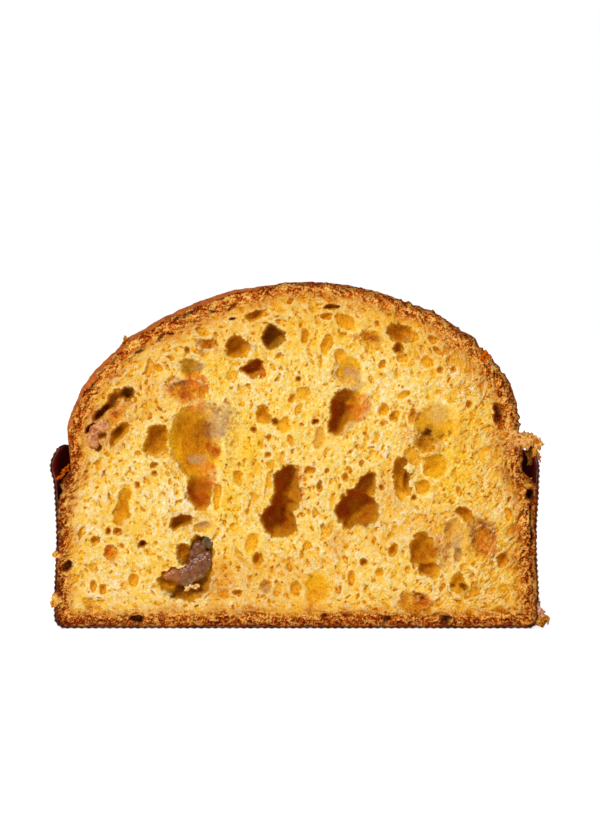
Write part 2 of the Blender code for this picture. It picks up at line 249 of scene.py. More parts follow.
grid_x = np.arange(-99.6, 99.7, STEP)
grid_z = np.arange(0.6, LOAF_TOP + 2, STEP)
GX, GZ = np.meshgrid(grid_x, grid_z)
SHAPE = GX.shape
flat_grid = np.stack([GX.ravel(), np.full(GX.size, 0), GZ.ravel()], axis=-1)


def grid_noise(size, seed):
    return noise(flat_grid, size, seed).reshape(SHAPE)


def grid_layers(field, *layers):
    return add_noise(np.ravel(field), flat_grid, *layers).reshape(SHAPE)


def nearest_on_line(places, line):
    """Each place's distance to a line, the nearest point on it and the number of its stretch."""
    start, run = line[:-1], np.diff(line, axis=0)
    length2 = (run**2).sum(1)
    distance, nearest = np.empty(len(places)), np.empty((len(places), 2))
    index = np.empty(len(places), dtype=int)
    for low in range(0, len(places), 6000):
        part = slice(low, low + 6000)
        dx, dz = places[part, 0:1] - start[:, 0], places[part, 1:2] - start[:, 1]
        along = np.clip((dx * run[:, 0] + dz * run[:, 1]) / length2, 0, 1)
        gap = (dx - along * run[:, 0]) ** 2 + (dz - along * run[:, 1]) ** 2
        best = gap.argmin(1)
        row = np.arange(len(best))
        distance[part] = np.sqrt(gap[row, best])
        nearest[part] = start[best] + along[row, best][:, None] * run[best]
        index[part] = best
    return distance, nearest, index


def inside_line(x, z, line):
    """Which points of a grid a closed line goes round: it passes beside them an odd number of times."""
    result = np.zeros(x.shape, dtype=bool)
    for row in range(len(x)):
        level = z[row, 0] + 1e-7
        crossed = (line[:-1, 1] > level) != (line[1:, 1] > level)
        (x0, z0), (x1, z1) = line[:-1][crossed].T, line[1:][crossed].T
        at = x0 + (level - z0) / (z1 - z0) * (x1 - x0)
        result[row] = (x[row][:, None] < at).sum(1) % 2 == 1
    return result


# Distances to the outline are worked out on every fourth row and column
COARSE = 4
coarse_x, coarse_z = GX[::COARSE, ::COARSE], GZ[::COARSE, ::COARSE]
coarse_shape = coarse_x.shape


def spread(values):
    """Values on those rows and columns, brought to the whole grid by linear steps."""
    values = values.reshape(coarse_shape)
    rows = np.minimum(np.arange(SHAPE[0]) / COARSE, coarse_shape[0] - 1)
    cols = np.minimum(np.arange(SHAPE[1]) / COARSE, coarse_shape[1] - 1)
    r0 = np.minimum(rows.astype(int), coarse_shape[0] - 2)
    c0 = np.minimum(cols.astype(int), coarse_shape[1] - 2)
    fr, fc = (rows - r0)[:, None], (cols - c0)[None, :]
    upper = values[r0][:, c0] * (1 - fc) + values[r0][:, c0 + 1] * fc
    lower = values[r0 + 1][:, c0] * (1 - fc) + values[r0 + 1][:, c0 + 1] * fc
    return upper * (1 - fr) + lower * fr


coarse_places = np.stack([coarse_x.ravel(), coarse_z.ravel()], 1)
edge_distance, _, edge_index = nearest_on_line(coarse_places, outline)
side = np.where(inside_line(coarse_x, coarse_z, outline).ravel(), 1, -1)
# How far inside the outline a place lies, and below 0 outside it
crust_gap = spread(edge_distance * side)


def doubled(turn):
    return np.cos(2 * turn), np.sin(2 * turn)


def mixed_turn(first, second, share):
    """The direction between two, each given as the cosine and sine of twice its angle."""
    cos, sin = (share * b + (1 - share) * a for a, b in zip(first, second))
    return 0.5 * np.arctan2(sin, cos)


tangent = np.gradient(outline, axis=0)
tangent_turn = np.arctan2(tangent[:, 1], tangent[:, 0])[edge_index]
# The crumb runs along the crust near it, and fans out from below further in
fan_turn = np.arctan2(GZ + 90, GX * 1.1)
near = smooth(-crust_gap, -22, -3)
grain = mixed_turn(doubled(fan_turn), [spread(part) for part in doubled(tangent_turn)], near)

# Warps that make outlines uneven: one for bubbles, and a stronger one for hollows and stains
WX = grid_layers(GX, (0.75, 4.6, 11), (0.32, 1.7, 12), (0.14, 0.75, 13))
WZ = grid_layers(GZ, (0.75, 4.6, 21), (0.32, 1.7, 22), (0.14, 0.75, 23))
HX = grid_layers(GX, (1, 5.2, 14), (0.7, 2.3, 15), (0.6, 1.1, 16), (0.35, 0.65, 27))
HZ = grid_layers(GZ, (1, 5.2, 24), (0.7, 2.3, 25), (0.6, 1.1, 26), (0.35, 0.65, 28))


def blur(field, size):
    """A Gaussian blur; size is its standard deviation in mm."""
    rows = np.fft.fftfreq(SHAPE[0], STEP)[:, None]
    cols = np.fft.rfftfreq(SHAPE[1], STEP)[None, :]
    kernel = np.exp(-2 * (np.pi * size) ** 2 * (rows**2 + cols**2))
    return np.fft.irfft2(np.fft.rfft2(field) * kernel, s=SHAPE)


# The large hollows

# The cut plane itself is torn, not flat
depth = grid_layers(0, (0.42, 8, 31), (0.5, 3.4, 32), (0.28, 1.5, 33)) + 0.18
jag = grid_layers(0, (0.3, 3.6, 36), (0.16, 1.4, 34), (0.1, 0.7, 35))
scallop = grid_layers(0, (0.7, 3.8, 37), (0.15, 1.7, 38))
lip = np.zeros(SHAPE)
red = np.zeros(SHAPE)
basin = np.zeros(SHAPE)


def window(x, z, reach):
    """The rows and columns of the grid within reach of a place."""
    spans = []
    for middle, lowest, count in ((z, grid_z[0], SHAPE[0]), (x, grid_x[0], SHAPE[1])):
        low = max(0, int((middle - reach - lowest) / STEP))
        spans.append(slice(low, min(count, int((middle + reach - lowest) / STEP) + 2)))
    return tuple(spans)


def oval(u, w, a, c, turn):
    """1 in the middle of an ellipse, 0 on its rim, below 0 outside it."""
    cos, sin = math.cos(turn), math.sin(turn)
    return 1 - ((u * cos + w * sin) / a) ** 2 - ((w * cos - u * sin) / c) ** 2


def carve_bubble(x, z, a, c, turn, middle, half, power):
    """Opens an ellipsoid bubble where what lies in front of it is already open.

    a and c are its half-lengths along turn and across it, half is its half-depth, and middle
    is the depth of its centre behind the cut plane. power is 0.5 for a round one, and more for
    one whose rim is gentle.
    """
    part = window(x, z, max(a, c) + 1.8)
    level = oval(WX[part] - x, WZ[part] - z, a, c, turn) + 0.9 * jag[part]
    reach = half * np.clip(level, 0, None) ** power
    floor = middle + reach
    here = depth[part]
    opened = (level > 0) & (middle - reach < here + 0.15) & (floor > here)
    here[opened] = floor[opened]


# Hollows seen in the photograph: middle and half-sizes in its pixels, how deep the floor lies in
# mm, how far one side fades out without a rim, from 0 to 1, the turn in degrees, how far the
# walls are stained red-brown, from 0 to 1, the direction in degrees of the side that fades, and
# how soft the rim is
Hollow = namedtuple("Hollow", "px py a b deep fade turn red aim soft", defaults=(0, 0, 0, -37, 0))
HOLLOWS = [
    # The teardrop
    (198, 440, 29, 38, 6.8, 1, 0, 0, 12, 0.12), (199, 483, 13, 29, 8, 0.9, 6, 0.1, 84, 0.1),
    (217, 498, 5.5, 19, 2.6, 0.8, -4),
    # The twins below the middle
    (288.5, 486, 13.5, 22, 12, 0.1, 4, 0.7, -10), (288, 506, 10, 10, 12, 0, 0, 0.7),
    (277, 520, 17.5, 17.5, 14, 0, 0, 0.85), (282, 503, 13, 11, 12.5, 0, -30, 0.8),
    (289, 525, 9, 11, 11, 0.3, 0, 0.6), (356, 509, 21, 19, 13, 0, 0, 0.75),
    (365, 486, 11, 16, 9, 0.1, -20, 0.3), (371, 514, 9, 9, 10, 0.3, 0, 0.4),
    # Right of the middle
    (341, 410, 11, 26, 11, 0.3, -14, 0.8, 0), (351, 406, 14, 19, 6.5, 0.9, -24, 0.6, -10),
    (352.3, 373.3, 15, 20, 3.4, 0.9, 10), (343, 356, 8, 8, 2.6, 0.8),
    (438, 421, 25, 23, 3.8, 0.95, 0, 0, 40), (427, 434.5, 5, 5, 6), (443, 437, 4.5, 3.2, 3.4, 0, 60),
    (427, 444, 12, 9, 4.5, 0.5),
    # The upper left
    (273, 336, 12.5, 12, 9, 0.1), (238.5, 346.5, 14, 11, 6.5, 0.3),
    (256.7, 315.3, 12, 4.8, 4.5, 0.3, 20), (253, 369.5, 12.5, 10, 9, 0, 0, 1),
    (305, 336, 5, 9.5, 3, 0.4, -8), (210, 342.7, 12, 5, 1.9, 0.6, 0, 0.6),
    (191, 370, 14, 13, 3.4, 0.9, 0, 0, -90), (187, 394, 22, 15, 1.9, 0.9, 0, 0.9, -90),
    # The long slit at the left, in three chambers
    (126.5, 392.5, 10.5, 6.5, 8, 0, 30), (112, 400, 11, 8, 6.5, 0.2, 52, 0.3),
    (101.5, 411.5, 12, 5, 9, 0, 50, 1), (90.5, 427.5, 8.5, 3.6, 8, 0, 40, 1),
    (100.5, 434, 5.5, 4.5, 4.5, 0, 0, 1), (98, 447, 3.6, 5.5, 5.5, 0, -10, 1),
    (118.5, 433, 7.5, 14, 7.5, 0.5, -36, 0, -40), (157, 439, 12.5, 18, 6.5, 0.3, -16, 0.2),
    (159, 367.5, 7, 4, 2.6, 0.5, -25),
    # Bubbles round the middle
    (264, 415, 10, 12, 4.6, 0.5), (275, 422, 4, 5, 6), (253.8, 429.7, 3.8, 3.8, 4),
    (293, 398, 4.8, 6, 3.5, 0.5), (284.5, 426, 10, 12, 2.4, 0.9), (187, 350, 2.8, 4, 4),
    (332, 306, 9, 3, 6, 0, 0, 0.6), (326.5, 315, 8, 4, 3.6, 0.3), (348.4, 322.5, 15, 9, 3.2, 0.9, -30),
    (402, 333, 17, 10, 5.5, 0.5, -20), (397, 347.5, 6, 6, 5, 0.3, 0, 0.4),
    (371.4, 337, 11, 8, 2, 0.7, -15, 0.5), (327.4, 345.6, 7, 13, 3, 0.6, -15),
    (384, 409, 6, 9, 3, 0.5, -15), (394.6, 416, 6, 8, 3.6, 0.4, -20), (412, 417, 4, 11, 3, 0.4, -8),
    (405, 394, 9, 4, 2.4, 0.6, 20), (499, 414, 6.5, 15, 8, 0.1, 8, 0.5),
    (453.7, 369.5, 3.7, 4.2, 3.5, 0.3), (469, 404, 4, 5, 3, 0.3), (432.6, 339, 7, 3.5, 3, 0.3, -40),
    (438, 350, 7, 3, 2.6, 0.3, -40), (383, 364, 5, 6, 2.4, 0.6), (304.4, 394, 10, 9, 2, 0.9),
    (298.7, 379, 3.2, 3.2, 3.5), (316, 421, 3.6, 3.8, 5, 0, 0, 0.7), (320, 440, 8, 16, 2.4, 0.9, -12),
    (404, 358, 9, 6, 2.4, 0.6, -20), (427, 362, 9, 7, 2.4, 0.6, -25), (440, 369.5, 4, 5, 3, 0.3),
    # The left
    (122.5, 508, 9, 25, 3.4, 0.6, -14), (116.8, 532, 5, 4, 4, 0.2), (107.5, 531.5, 3.2, 4, 4),
    (180, 522, 13, 7, 7, 0.1, 18, 0.3), (138, 485, 3.2, 4.2, 3.5), (154.4, 464, 4, 4, 3.5),
    (154, 473, 3.2, 3.2, 3.5), (95, 539.6, 5, 5, 4), (110, 554, 7, 9, 1.8, 0.6, 0, 0.4),
    (141.5, 544.7, 4.5, 4.5, 7, 0, 0, 0.8), (66.3, 566.4, 4.5, 7.5, 7, 0, -30, 0.9),
    (92, 586.5, 4, 8, 3.6, 0.3), (101.7, 589.3, 4.5, 5.5, 3.6, 0.3), (132.4, 580.7, 6, 9, 3, 0.5, -12),
    (137, 620, 8, 4.5, 7, 0, 0, 0.9),
    # Below the middle
    (258.6, 560.6, 6.5, 7, 5, 0.3), (267, 586.5, 9, 9, 3.2, 0.7), (237.6, 593, 6, 4, 3.5, 0.4),
    (310, 469, 6, 5, 3.5, 0.4), (319.5, 486, 3, 6, 3.5), (252, 544, 9, 13, 2.4, 0.9, -15),
    (296, 590, 6, 11, 3, 0.6, -8), (317, 592, 13, 23, 2.4, 0.9, 0, 0.3),
    (238.5, 477.4, 7, 8, 2.2, 0.8), (204, 527, 12, 7, 2.6, 0.8, 10), (268, 454.4, 4, 4, 3),
    (269, 438, 4, 4, 3),
    # The right
    (402, 480, 10, 23, 5.5, 0.4, 6), (408, 482, 5, 12, 7, 0, 6), (437, 467, 15, 14, 4.2, 0.9),
    (425, 487, 10, 9, 3.4, 0.6), (466, 515, 11, 6.5, 5.5, 0.2, -30, 0.3),
    (456.5, 535, 14, 18, 3.4, 0.8), (460, 556, 6, 10, 2.6, 0.8, 8),
    (424, 553, 14, 20, 5.5, 0.6, 12, 0.4), (430, 570, 12, 7, 6, 0.4, -10, 0.3),
    (485, 545, 13, 18, 1.9, 0.8, 8, 0.8), (503, 560, 6, 8.5, 5, 0.2, -20),
    (392.8, 550, 5.5, 8, 4.5, 0.3, -8), (364, 562.5, 4.2, 4.2, 4, 0, 0, 0.4),
    (352, 579, 4.5, 10, 2.6, 0.6), (460, 584, 9, 12, 4.2, 0.7), (453.5, 586, 3, 2.2, 5.5, 0, -40),
    (465, 587, 4, 3.2, 6), (345.6, 477, 3.5, 5, 3.5), (417, 604, 18, 12, 1.6, 0.8, 0, 0.7),
    (386.7, 620, 4.5, 4, 6, 0, 0, 0.8), (447, 620, 6.5, 4, 6, 0, 0, 0.8),
    (324.5, 617, 4.5, 3, 5, 0, 0, 0.8), (381, 487, 3, 3, 3.5), (459.4, 490.8, 4, 6, 3, 0.3),
    (509, 515.7, 4.5, 9, 2.6, 0.5), (415, 497.5, 3.6, 3.6, 4), (380, 573, 5, 6, 2.6, 0.4),
    # The chestnut's bed: the amber cavity over it, the place it fills and the gaps below
    (183, 551.5, 9.5, 9, 6, 0.1, 0, 0.2), (186, 559, 8, 5.5, 4.5, 0, 20, 1),
    (178, 577, 21, 9, 6, 0, 14, 0.3), (199, 571, 15, 15, 6, 0, 30, 0.3),
    (201, 550, 13, 15, 6, 0, 0, 0.3), (170, 585, 13, 8, 5, 0.1, -20, 0.3),
    (187, 590, 17, 12.5, 6, 0.2, 10, 0.3), (201, 584, 8, 12, 6, 0.1, -30, 0.3),
    # Cracks under the skin at the upper left
    (176.5, 317.6, 4, 1.4, 2.5, 0, 25, 1), (189.5, 312.6, 9, 1.7, 2.8, 0, 31, 1),
    (213.5, 311, 5, 1.2, 2.5, 0, 8, 1), (221.5, 298, 3, 1.2, 2.2, 0, 20, 1),
    (233, 304.5, 8, 2, 2.5, 0, 52, 1), (232.5, 318, 4, 1.3, 2.4, 0, 10, 1),
    (161.5, 335.5, 6, 2, 2.8, 0, 55, 1), (171, 333, 3.5, 1.1, 2, 0, 0, 1),
    (139.5, 351, 5, 1.6, 2.4, 0, 15, 1), (113.5, 360, 6, 1.6, 2.4, 0, 48, 1),
    (92.5, 386, 7, 1.4, 2.2, 0, 55, 1), (87, 401, 6, 1.3, 2.2, 0, 68, 1),
    # Slits between the crust and the case
    (530.5, 494, 3.6, 6.5, 8, 0, 0, 1), (531, 513, 1.3, 18, 3, 0, -2, 1),
    (532, 535, 1.2, 12, 2.5, 0, 2, 1),
]


def cover(mark, margin, uneven):
    """What a hollow or a stain covers: part of the grid, the way there from its middle, its oval.

    uneven is how far its outline follows the stronger warp, from 0 to 1.
    """
    x, z = at_x(mark.px), at_z(mark.py)
    a, c = mark.a * PIXEL, mark.b * PIXEL
    part = window(x, z, max(a, c) + margin)
    u = GX[part] + uneven * (HX[part] - GX[part]) - x
    w = GZ[part] + uneven * (HZ[part] - GZ[part]) - z
    return part, u, w, oval(u, w, a, c, math.radians(mark.turn))


def carve_hollow(hollow):
    """A hollow with a torn rim and steep walls; the part of it that fades has gentle ones."""
    a, c = hollow.a * PIXEL, hollow.b * PIXEL
    small, mean_size = min(a, c), 0.5 * (a + c)
    uneven = min(1, small / 3.5) * (1 - 0.5 * hollow.fade)
    part, u, w, level = cover(hollow, 3.2, uneven)
    level = level + 0.35 * jag[part]
    aim = math.radians(hollow.aim)
    towards = (math.cos(aim) * u + math.sin(aim) * w) / mean_size
    fade = hollow.fade * smooth(towards, -0.5, 0.8)
    soft = hollow.soft + 0.45 * (2 < hollow.deep < 4.7)
    bowl = np.clip(level, 0, 1) ** (0.42 + soft + 1.1 * fade)
    floor = hollow.deep * bowl * (1 - 0.5 * fade) * (1 - 0.2 * towards)
    floor = floor + scallop[part] * bowl * min(1, 0.16 * hollow.deep)
    here = depth[part]
    opened = (level > 0) & (floor > here)
    here[opened] = floor[opened]
    rim = level * 0.5 * small
    lip[part] = np.maximum(lip[part], np.exp(-(((rim + 0.5) / 0.5) ** 2)) * (1 - fade))
    red[part] = np.maximum(red[part], hollow.red * smooth(level, -0.3, 0.3))
    if hollow.deep > 2:
        basin[part] = np.maximum(basin[part], smooth(level, 0, 0.3))


for row in HOLLOWS:
    carve_hollow(Hollow(*row))

# No wall is steeper than the mesh can follow
STEEPEST = 4.2
for _ in range(32):
    for axis in (0, 1):
        for way in (-1, 1):
            depth = np.minimum(depth, np.roll(depth, way, axis) + STEEPEST * STEP)

# Below their rims the deep hollows are rounded, without the rim's small teeth
below_rim = smooth(blur(depth, 0.5), 2, 4.5)
depth = depth + (blur(depth, 0.5) - depth) * below_rim

# The hollows' own walls are smoother than the cut crumb round them
walls = np.maximum(smooth(blur(depth, 0.5), 1.1, 2.4), 0.85 * blur(basin, 0.4))

# The crumb's grain turns to follow the large hollows' rims
slope_z, slope_x = np.gradient(blur(np.minimum(depth, 5), 2.2), STEP)
around = smooth(np.hypot(slope_x, slope_z), 0.1, 0.45)
rim_turn = np.arctan2(slope_z, slope_x) + 0.5 * np.pi
grain = mixed_turn(doubled(grain), doubled(rim_turn), around)


def scatter(seed, size, vary, count, stretch, spacing, room, sunk, power=0.5):
    """Bubbles of about one size, dropped where there is room.

    vary and stretch are how much their sizes and shapes differ, spacing is the room that each
    keeps free, in radii, and sunk is how deep their middles lie, in half-depths.
    """
    rng = np.random.default_rng(seed)
    placed = 0
    taken = np.zeros(SHAPE, dtype=bool)
    spots = np.flatnonzero(room.ravel())
    for spot in rng.choice(spots, count * 5):
        row, col = divmod(int(spot), SHAPE[1])
        if taken[row, col]:
            continue
        x, z = grid_x[col], grid_z[row]
        r = size * math.exp(vary * rng.standard_normal())
        flat = 1 + stretch * rng.random()
        a, c = r * math.sqrt(flat), r / math.sqrt(flat)
        turn = grain[row, col] + 0.4 * rng.standard_normal()
        half = r * rng.uniform(0.45, 0.9) * (1.25 - 0.5 * power)
        middle = depth[row, col] + half * rng.uniform(*sunk)
        carve_bubble(x, z, a, c, turn, middle, half, power)
        part = window(x, z, r * spacing)
        taken[part] |= (GX[part] - x) ** 2 + (GZ[part] - z) ** 2 < (r * spacing) ** 2
        placed += 1
        if placed >= count:
            break


def room_for(radius):
    """Where the crumb is still whole for a radius round, and not too close to the crust."""
    whole = blur(((basin < 0.3) & (crust_gap > 0.4)).astype(float), 0.5 * radius)
    return whole > 0.96


# Most bubbles are cut near their back wall and show as shallow, wide pools. Each row is a kind:
# seed, size, vary, count, stretch, spacing, room, sunk and power
scatter(101, 2.4, 0.3, 130, 1.6, 1.4, room_for(2), (-0.7, -0.3), 1)
scatter(102, 1.3, 0.35, 900, 1.6, 1.4, room_for(0.9), (-0.7, -0.1), 0.7)
scatter(103, 0.66, 0.35, 3000, 1.6, 1.5, room_for(0.6), (-0.8, 0.1))
scatter(104, 0.42, 0.25, 7000, 1.2, 1.5, room_for(0.3), (-0.7, 0.2))
scatter(105, 0.8, 0.3, 110, 0.8, 3, room_for(0.8), (-0.1, 0.4))


def white(seed, size):
    """Random numbers on the grid, blurred to a size."""
    return blur(np.random.default_rng(seed).standard_normal(SHAPE), size)


def along_grain(size, seed, turn, reach, taps):
    """Noise of about one size smeared along the crumb's grain, which draws it out in fibres."""
    field = white(seed, size)
    total = np.zeros(SHAPE)
    row0, col0 = np.indices(SHAPE)
    for step in np.linspace(-reach, reach, taps):
        row = np.clip(row0 + np.rint(step * np.sin(turn) / STEP).astype(int), 0, SHAPE[0] - 1)
        col = np.clip(col0 + np.rint(step * np.cos(turn) / STEP).astype(int), 0, SHAPE[1] - 1)
        total += field[row, col]
    return total / total.std()


twist = grain + 0.6 * grid_noise(5, 43)
fibre = along_grain(0.2, 5, twist, 1.5, 9)
granule, dust = white(6, 0.2), white(12, 0.11)
granule, dust = granule / granule.std(), dust / dust.std()
threads = smooth(along_grain(0.13, 15, twist + 0.9 * grid_noise(2.6, 47), 1.8, 13), 1.1, 2.4)
# Some of the crumb is torn to fibres, and some of it keeps its bubbles' smooth walls
pool = smooth(depth - blur(depth, 1), -0.05, 0.35)
torn = smooth(grid_noise(4.2, 44) + 0.5 * grid_noise(1.9, 45), -0.45, 0.25) * (1 - 0.85 * walls)
right = smooth(GX, 20, 95)
coarse_grit = (0.3 + 0.7 * torn + 0.9 * right) * (1 - 0.85 * walls) * (1 - 0.7 * pool)
grains = (1 - 0.5 * right) * (0.12 * granule + 0.09 * dust)
depth += coarse_grit * ((0.13 + 0.1 * right) * fibre + grains)
depth -= 0.2 * lip * (1 - walls) * (0.3 + 0.7 * granule)
depth -= 0.22 * threads * (1 - walls)

# Close to the crust the crumb is dense, and breaks in crumbs and in flakes along it
near_floor = smooth(-GZ, -16, -6)
band = (7.8 + 3 * right * (1 - near_floor)) * (1 + 0.06 * near_floor)
flaky = smooth(-crust_gap / band, -1, -0.25)
gritty = 0.45 + 0.55 * np.maximum(right, smooth(-GZ, -80, -45))
flake = along_grain(0.24, 8, grain, 1.2, 7)
crumbs = gritty * (0.5 * grid_noise(0.95, 71) + 0.65 * grid_noise(0.5, 72) + 0.16 * dust)
crumbs = crumbs + 0.3 * grid_noise(2.3, 73)
crack = along_grain(0.2, 9, grain + 0.2 * grid_noise(6, 46), 2.4, 13)
cracks = smooth(crack, 1.25, 2.2) * smooth(-crust_gap / band, -1.1, -0.5)
dense = smooth(-crust_gap, -2, -0.5)
depth = depth * (1 - 0.5 * dense) + 0.1 * dense
depth += flaky * (0.16 * flake + 0.6 * crumbs) + 0.5 * cracks
depth = np.maximum(depth, -0.7)
# Where it lies over the case's inner paper it stands out of the cut
over = smooth(-crust_gap, -1.3, -0.8) * smooth(-GZ, -OVERHANG_TOP - 2, -OVERHANG_TOP + 2)
depth += over * (-0.3 + 0.12 * crumbs - depth)


# Colours of the crumb

shallow = np.minimum(depth, 1.5)
flat = 1 - smooth(blur(np.minimum(depth, 3), 0.3), 0.9, 1.7)
mean = blur(shallow * flat, 1.1) / np.maximum(blur(flat, 1.1), 0.08)
ridge = smooth(mean - shallow, -0.1, 0.4)
wide = smooth(blur(np.minimum(depth, 2.5), 1.1), 0.5, 1.15) * smooth(-blur(depth, 1.1), -3.4, -2)
pore = smooth(shallow - mean, -0.05, 0.65) * (1 - 0.45 * wide)
patch_fine = grid_noise(5, 53)
blotch = grid_noise(2.6, 54) + 0.5 * grid_noise(1.2, 55)
freckle = grid_noise(1.6, 52)
# Which way each hollow's walls face. The light comes from the upper left: walls turned away from it get
# painted shade, and walls turned towards it get painted light
wall_z, wall_x = np.gradient(blur(depth, 0.8), STEP)
wall_turn = 0.8 * wall_x - 0.6 * wall_z
painted_shade_side, painted_light_side = smooth(wall_turn, 0.2, 1.6), smooth(-wall_turn, 0.2, 1.6)

CREAM = linear(250, 224, 158)
YELLOW = linear(244, 198, 84)
YOLK = linear(246, 192, 48)
GLAZE = linear(236, 176, 40)
AMBER = linear(202, 124, 0)
DEEP_AMBER = linear(172, 98, 3)
UMBER = linear(104, 52, 3)
RED = linear(166, 68, 2)
MAROON = linear(60, 10, 4)
GREY = linear(190, 148, 100)
OLIVE = linear(176, 122, 26)
OLIVE_HAZE = linear(224, 180, 98)
STRAW = linear(250, 214, 112)
PALE = linear(248, 208, 122)
ORANGE = linear(226, 124, 32)
BROWN = linear(150, 88, 34)
GOLDEN = linear(232, 168, 14)
HAZE = linear(214, 168, 108)
RUST = linear(180, 82, 12)
FLECK = linear(248, 192, 92)
GOLD = linear(226, 152, 44)
TOAST = linear(214, 102, 8)
RIM = linear(90, 32, 0)
BARK = linear(124, 38, 0)

